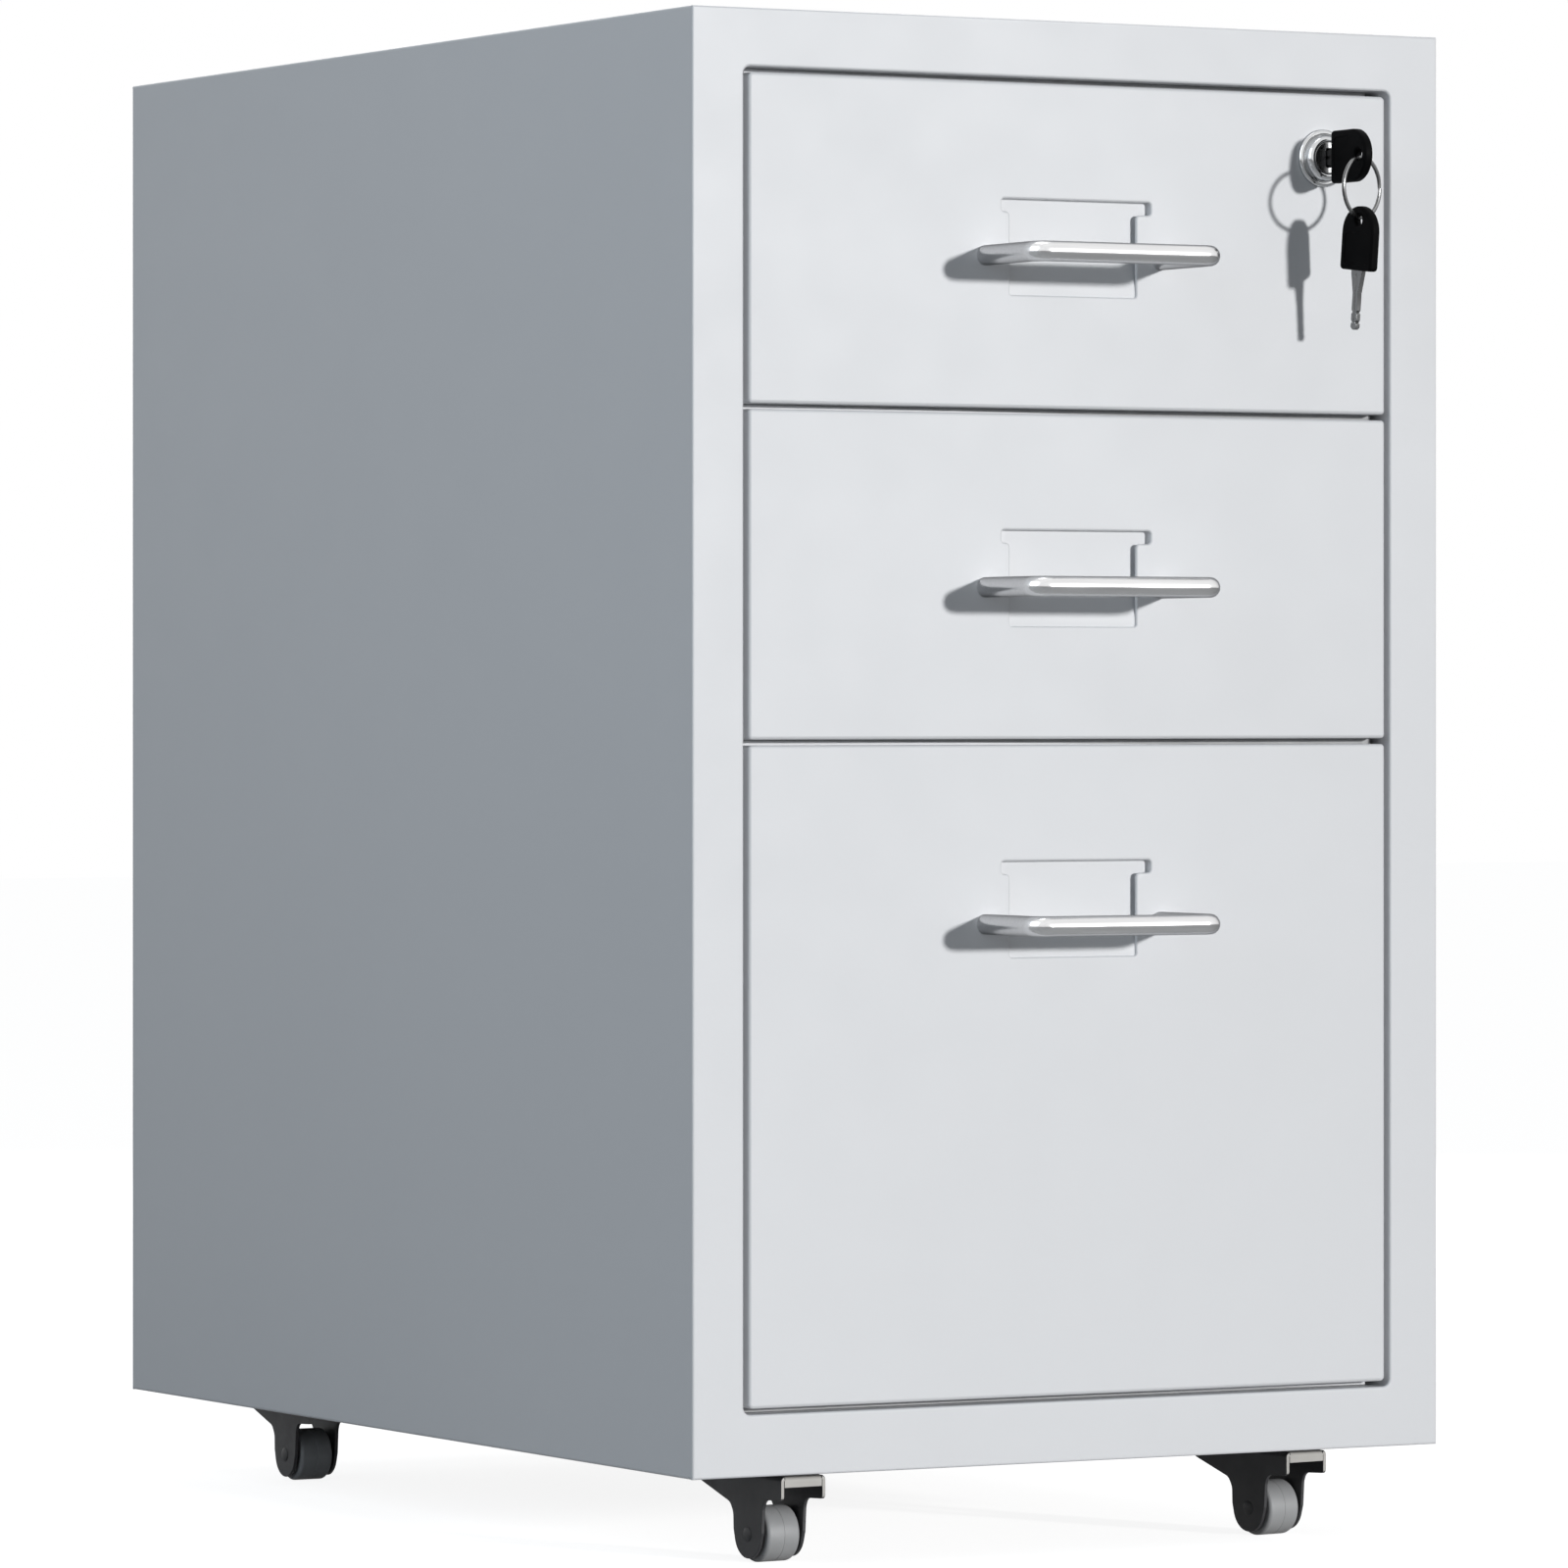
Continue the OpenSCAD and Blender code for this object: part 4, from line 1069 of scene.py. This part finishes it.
def lock_bar_guides(b):
    """Moulded blocks under the hooks, each with a slot that the bar runs in."""
    low, high = box_mm("lock_bar_guides")
    bar_high = box_mm("lock_bar")[1]
    slot = rect(bar_high.x - 2.3, bar_high.y - 16.3, bar_high.x + 0.3, bar_high.y + 0.3)
    for drawer in DRAWERS:
        top = hook_top(drawer) - HOOK_H
        block = rounded(rect(low.x, low.y, high.x, high.y), [0.8, 2.5, 2.5, 0.8], 4)
        b.plate("z", block, top - 6, top, 0.5, holes=[slot])


piece("lock_bar", lock_bar)
piece("lock_bar_hooks", lock_bar_hooks)
piece("lock_bar_guides", lock_bar_guides)


# ---- castors, each drawn about its own kingpin ----

def cheek_line():
    """One cheek's edge in (y, z), from the front top corner down, round the wheel and up to the back."""
    low = FORK_Z - FLANGE_H
    end_r = 9.5
    a = AXLE_Y
    top = FORK_Z - FORK_BEND
    turn0, turn1 = math.radians(198), math.radians(342)
    turns = [turn0 + (turn1 - turn0) * k / 20 for k in range(21)]
    under = [(a + end_r * math.cos(t), WHEEL_R + end_r * math.sin(t)) for t in turns]
    front = [
        (-FORK_HALF_LEN, top), (-FORK_HALF_LEN, low + 0.2), (a - 12.3, low - 0.4), (a - 10.9, low - 4),
        (a - 10.2, WHEEL_R + 1),
    ]
    back = [
        (a + 10.2, WHEEL_R + 1.5), (a + 10.4, WHEEL_R + 8), (a + 12.8, low - 2.9), (FORK_HALF_LEN, low + 4.1),
        (FORK_HALF_LEN, top),
    ]
    line = rounded(front + under[:1], [0, 1.6, 3.2, 4, 2, 0], 5, closed=False)
    line += [Vector(p) for p in under[1:-1]]
    line += rounded(under[-1:] + back, [0, 2, 6, 4.5, 1.6, 0], 5, closed=False)
    return line


FORK_BEND = 2.2
FLAT_TOP = FORK_HALF - FORK_BEND
BEND_LEN = math.pi / 2 * FORK_BEND


def fork(b):
    """Pressed from one flat blank, then bent down on both sides; the lips fold down at the ends."""
    lip_hw = FORK_HALF - 1.7
    notch = FORK_HALF_LEN - 1.8
    top = FORK_Z - FORK_BEND
    cheek = [Vector((FLAT_TOP + BEND_LEN + top - p.y, p.x)) for p in cheek_line()]
    mirror = [Vector((-p.x, p.y)) for p in reversed(cheek)]
    blank = (
        [Vector((lip_hw, -FORK_HALF_LEN))] + cheek + [Vector((lip_hw, FORK_HALF_LEN))]
        + [Vector((lip_hw, notch)), Vector((-lip_hw, notch))]
        + [Vector((-lip_hw, FORK_HALF_LEN))] + mirror + [Vector((-lip_hw, -FORK_HALF_LEN))]
        + [Vector((-lip_hw, -notch)), Vector((lip_hw, -notch))]
    )
    axle_u = FLAT_TOP + BEND_LEN + top - WHEEL_R
    holes = [circle(0, 0, 3.05, 24), circle(axle_u, AXLE_Y, 2.05, 20), circle(-axle_u, AXLE_Y, 2.05, 20)]
    b.plate("z", blank, 0, FORK_T, 0.25, holes=holes)
    bend_steps = 6
    for side in (-1, 1):
        for k in range(bend_steps + 1):
            b.cut("x", side * (FLAT_TOP + BEND_LEN * k / bend_steps))
    for vert in b.bm.verts:
        vert.co = bent(vert.co)
    # The lips take the lighter colour, a painted highlight
    b.paint = 1
    for way in (-1, 1):
        end = way * FORK_HALF_LEN
        path = [(way * (notch - 1.2), FORK_Z), (end, FORK_Z), (end, FORK_Z - FORK_LIP_H)]
        b.fold("x", path, -way * FORK_T, -lip_hw, lip_hw, 1.9)
    b.paint = 0
    cup_top = box_mm("rear_left_fork")[1].z
    profile = [
        (3.05, FORK_Z - 0.2), (15, FORK_Z - 0.2), (15, FORK_Z + 1.6), (14.6, FORK_Z + 2.6),
        (13.6, FORK_Z + 3.3),
        (12.6, FORK_Z + 3.7), (12.2, cup_top - 0.4), (11.8, cup_top), (3.05, cup_top),
    ]
    b.lathe("z", (0, 0, 0), profile, 48, closed=True)


def bent(co):
    """Where a point of the flat blank lies once the sheet is bent."""
    side = -1 if co.x < 0 else 1
    along = abs(co.x)
    drop = co.z
    centre_z = FORK_Z - FORK_BEND
    if along <= FLAT_TOP:
        return Vector((co.x, co.y, FORK_Z - drop))
    turn = (along - FLAT_TOP) / FORK_BEND
    if turn < math.pi / 2:
        reach = FORK_BEND - drop
        return Vector((side * (FLAT_TOP + reach * math.sin(turn)), co.y, centre_z + reach * math.cos(turn)))
    return Vector((side * (FORK_HALF - drop), co.y, centre_z - (along - FLAT_TOP - BEND_LEN)))


def highlight_faces(face):
    """The lips, and the cheeks' upright front and back edges, take a lighter colour: a painted highlight for
    the light these faces catch.
    """
    if face.material_index:
        return 1
    high = face.calc_center_median().z / MM > FORK_Z - FLANGE_H - 0.4
    return 1 if high and abs(face.normal.y) > 0.75 and face.calc_center_median().z / MM < FORK_Z - 1 else 0


def axle(b):
    half = FORK_HALF
    rim = [
        (0, -half - 0.6), (1.4, -half - 0.55), (2.5, -half - 0.4), (3.0, -half - 0.12),
        (3.0, -half), (2.0, -half),
    ]
    profile = rim + [(r, -x) for r, x in reversed(rim)]
    b.lathe("x", (0, AXLE_Y, WHEEL_R), profile, 28)


def wheel(b):
    """Solid wheel: rounded tread with a moulding seam, dished sides, raised hub."""
    bore, hub, half = 2.05, 4.05, WHEEL_HALF_W
    hub_half = FORK_HALF - FORK_T - HUB_GAP
    tread_r = 1.6
    side = [
        (bore, hub_half), (hub - 0.3, hub_half), (hub, hub_half - 0.3), (hub, half - 0.9),
        (hub + 0.5, half - 0.6),
        (WHEEL_R - 3.4, half - 0.6), (WHEEL_R - 3.0, half - 0.3), (WHEEL_R - 2.7, half),
    ]
    edge = [
        (WHEEL_R - tread_r + tread_r * math.sin(t), half - tread_r + tread_r * math.cos(t)) for t in arc(6)
    ]
    seam = [(WHEEL_R, 0.25), (WHEEL_R - 0.12, 0.12)]
    right = side + edge + seam
    left = [(r, -x) for r, x in reversed(right)]
    b.lathe("x", (0, AXLE_Y, WHEEL_R), right + left, 64, closed=True)


def castor_plates(b):
    low, high = box_mm("castor_plates")
    half = 22.0
    plate_z = high.z - FORK_T - 0.5
    kingpin = [
        (0, low.z), (3.6, low.z), (5.1, low.z + 0.4), (5.5, low.z + 0.9), (5.5, low.z + 1.6),
        (3, low.z + 1.6), (3, plate_z), (0, plate_z),
    ]
    for x, y in castor_places():
        corners = rounded(rect(x - half, y - half, x + half, y + half), 4, 5)
        holes = [circle(u, v, 2.2, 16) for u, v in screw_places(x, y)]
        b.plate("z", corners, plate_z, high.z, 0.4, holes=holes)
        b.lathe("z", (x, y, 0), kingpin, 32)


def castor_places():
    anchors = [joint_anchor(name + "_swivel") for name in CASTORS]
    return [(a.x, a.y) for a in anchors]


def screw_places(x, y, half_pitch=17.0):
    return [(x + i * half_pitch, y + j * half_pitch) for i in (-1, 1) for j in (-1, 1)]


def castor_screws(b):
    low, high = box_mm("castor_screws")
    for x, y in castor_places():
        for u, v in screw_places(x, y):
            b.tube([(u, v, low.z + 2), (u, v, high.z)], 2.0, 12)
            b.screw_head("z", (u, v, low.z + 2), 3.5, 2.0, -1)


for name in CASTORS:
    swivel = joint_anchor(name + "_swivel")
    spin = next(j for j in frame["joints"] if j["name"] == name + "_wheel_spin")["axis"]
    turn = Matrix.Rotation(math.atan2(spin[1], spin[0]), 4, "Z")
    place = Matrix.Translation((swivel.x, swivel.y, 0)) @ turn
    # The fork's lips and upright edges take the painted highlight colour
    piece(name + "_fork", fork, extra=("fork_edge",), sort_face=highlight_faces, matrix=place)
    piece(name + "_axle", axle, matrix=place)
    piece(name + "_wheel", wheel, matrix=place)
piece("castor_plates", castor_plates)
piece("castor_screws", castor_screws)


# ---- studio ----

def white_where_seen(tree, output, lit, white, in_gloss=1.0):
    """Camera and transmission rays see plain white, and glossy rays see it in the share in_gloss; the light
    on the object stays as it is.
    """
    path = tree.nodes.new("ShaderNodeLightPath")
    gloss = tree.nodes.new("ShaderNodeMath")
    gloss.operation = "MULTIPLY"
    tree.links.new(path.outputs["Is Glossy Ray"], gloss.inputs[0])
    gloss.inputs[1].default_value = in_gloss
    either = tree.nodes.new("ShaderNodeMath")
    either.operation = "MAXIMUM"
    tree.links.new(path.outputs["Is Camera Ray"], either.inputs[0])
    tree.links.new(gloss.outputs[0], either.inputs[1])
    seen = tree.nodes.new("ShaderNodeMath")
    seen.operation = "MAXIMUM"
    tree.links.new(either.outputs[0], seen.inputs[0])
    tree.links.new(path.outputs["Is Transmission Ray"], seen.inputs[1])
    mix = tree.nodes.new("ShaderNodeMixShader")
    tree.links.new(seen.outputs[0], mix.inputs[0])
    tree.links.new(lit, mix.inputs[1])
    tree.links.new(white, mix.inputs[2])
    tree.links.new(mix.outputs[0], output)


def studio_world(colour, strength):
    world = bpy.data.worlds.new("studio_world")
    world.use_nodes = True
    bpy.context.scene.world = world
    tree = world.node_tree
    soft = tree.nodes["Background"]
    soft.inputs["Color"].default_value = linear(*colour)
    soft.inputs["Strength"].default_value = strength
    white = tree.nodes.new("ShaderNodeBackground")
    white.inputs["Color"].default_value = linear(1, 1, 1)
    white.inputs["Strength"].default_value = 1.0
    white_where_seen(tree, tree.nodes["World Output"].inputs["Surface"], soft.outputs[0], white.outputs[0])


def studio_floor(size, tone, own_light):
    """Pale floor that the camera sees as white, apart from the object's faint shadow."""
    mesh = bpy.data.meshes.new("floor")
    corners = [(-size, -size, 0), (size, -size, 0), (size, size, 0), (-size, size, 0)]
    mesh.from_pydata(corners, [], [(0, 1, 2, 3)])
    floor = bpy.data.objects.new("floor", mesh)
    bpy.context.scene.collection.objects.link(floor)
    material = bpy.data.materials.new("floor_v")
    material.use_nodes = True
    tree = material.node_tree
    tree.nodes.remove(tree.nodes["Principled BSDF"])
    matt = tree.nodes.new("ShaderNodeBsdfDiffuse")
    matt.inputs["Color"].default_value = linear(*tone)
    glow = tree.nodes.new("ShaderNodeEmission")
    glow.inputs["Strength"].default_value = own_light
    both = tree.nodes.new("ShaderNodeAddShader")
    tree.links.new(matt.outputs[0], both.inputs[0])
    tree.links.new(glow.outputs[0], both.inputs[1])
    output = tree.nodes["Material Output"].inputs["Surface"]
    white_where_seen(tree, output, matt.outputs[0], both.outputs[0], in_gloss=0.15)
    mesh.materials.append(material)


def aim(obj, direction):
    obj.rotation_euler = Vector(direction).to_track_quat("-Z", "Y").to_euler()


def key_light(direction, strength, angle):
    lamp = bpy.data.lights.new("key", "SUN")
    lamp.energy = strength
    lamp.angle = math.radians(angle)
    obj = bpy.data.objects.new("key", lamp)
    bpy.context.scene.collection.objects.link(obj)
    aim(obj, direction)


def fill_light(name, place, target, size, power, colour=(1, 1, 1), spread=180):
    lamp = bpy.data.lights.new(name, "AREA")
    lamp.shape = "RECTANGLE"
    lamp.size, lamp.size_y = size
    lamp.energy = power
    lamp.color = colour
    lamp.spread = math.radians(spread)
    obj = bpy.data.objects.new(name, lamp)
    obj.location = place
    bpy.context.scene.collection.objects.link(obj)
    aim(obj, Vector(target) - Vector(place))


studio_world((0.86, 0.93, 1.0), 0.12)
studio_floor(12.0, (0.54, 0.53, 0.52), 0.88)
key_light((-0.407, 1.0, -0.155), 2.07, 3.5)
fill_light("left_fill", (-1.9, -0.6, 1.3), (-0.17, 0.0, 0.35), (1.6, 1.6), 12.3, (0.79, 0.90, 1.0))
fill_light("back_fill", (1.2, 2.1, 1.2), (0.05, 0.28, 0.35), (1.6, 1.6), 11.0, (0.94, 0.97, 1.0))
fill_light("top_fill", (0.0, 0.02, 1.5), (0.0, 0.02, 0.6), (0.4, 0.6), 0.35, (0.97, 0.98, 1.0), 60)

camera_data = bpy.data.cameras.new("camera")
camera = bpy.data.objects.new("camera", camera_data)
bpy.context.scene.collection.objects.link(camera)
camera_data.sensor_width = 36.0
camera_data.lens = 201.43
camera_data.shift_x = -0.00106
camera_data.shift_y = -0.0532
camera.location = (-1.770, -3.18675, 0.3356)
camera.rotation_euler = (math.radians(90), 0, math.radians(-29.05))
bpy.context.scene.camera = camera
bpy.context.scene.view_settings.view_transform = "Standard"
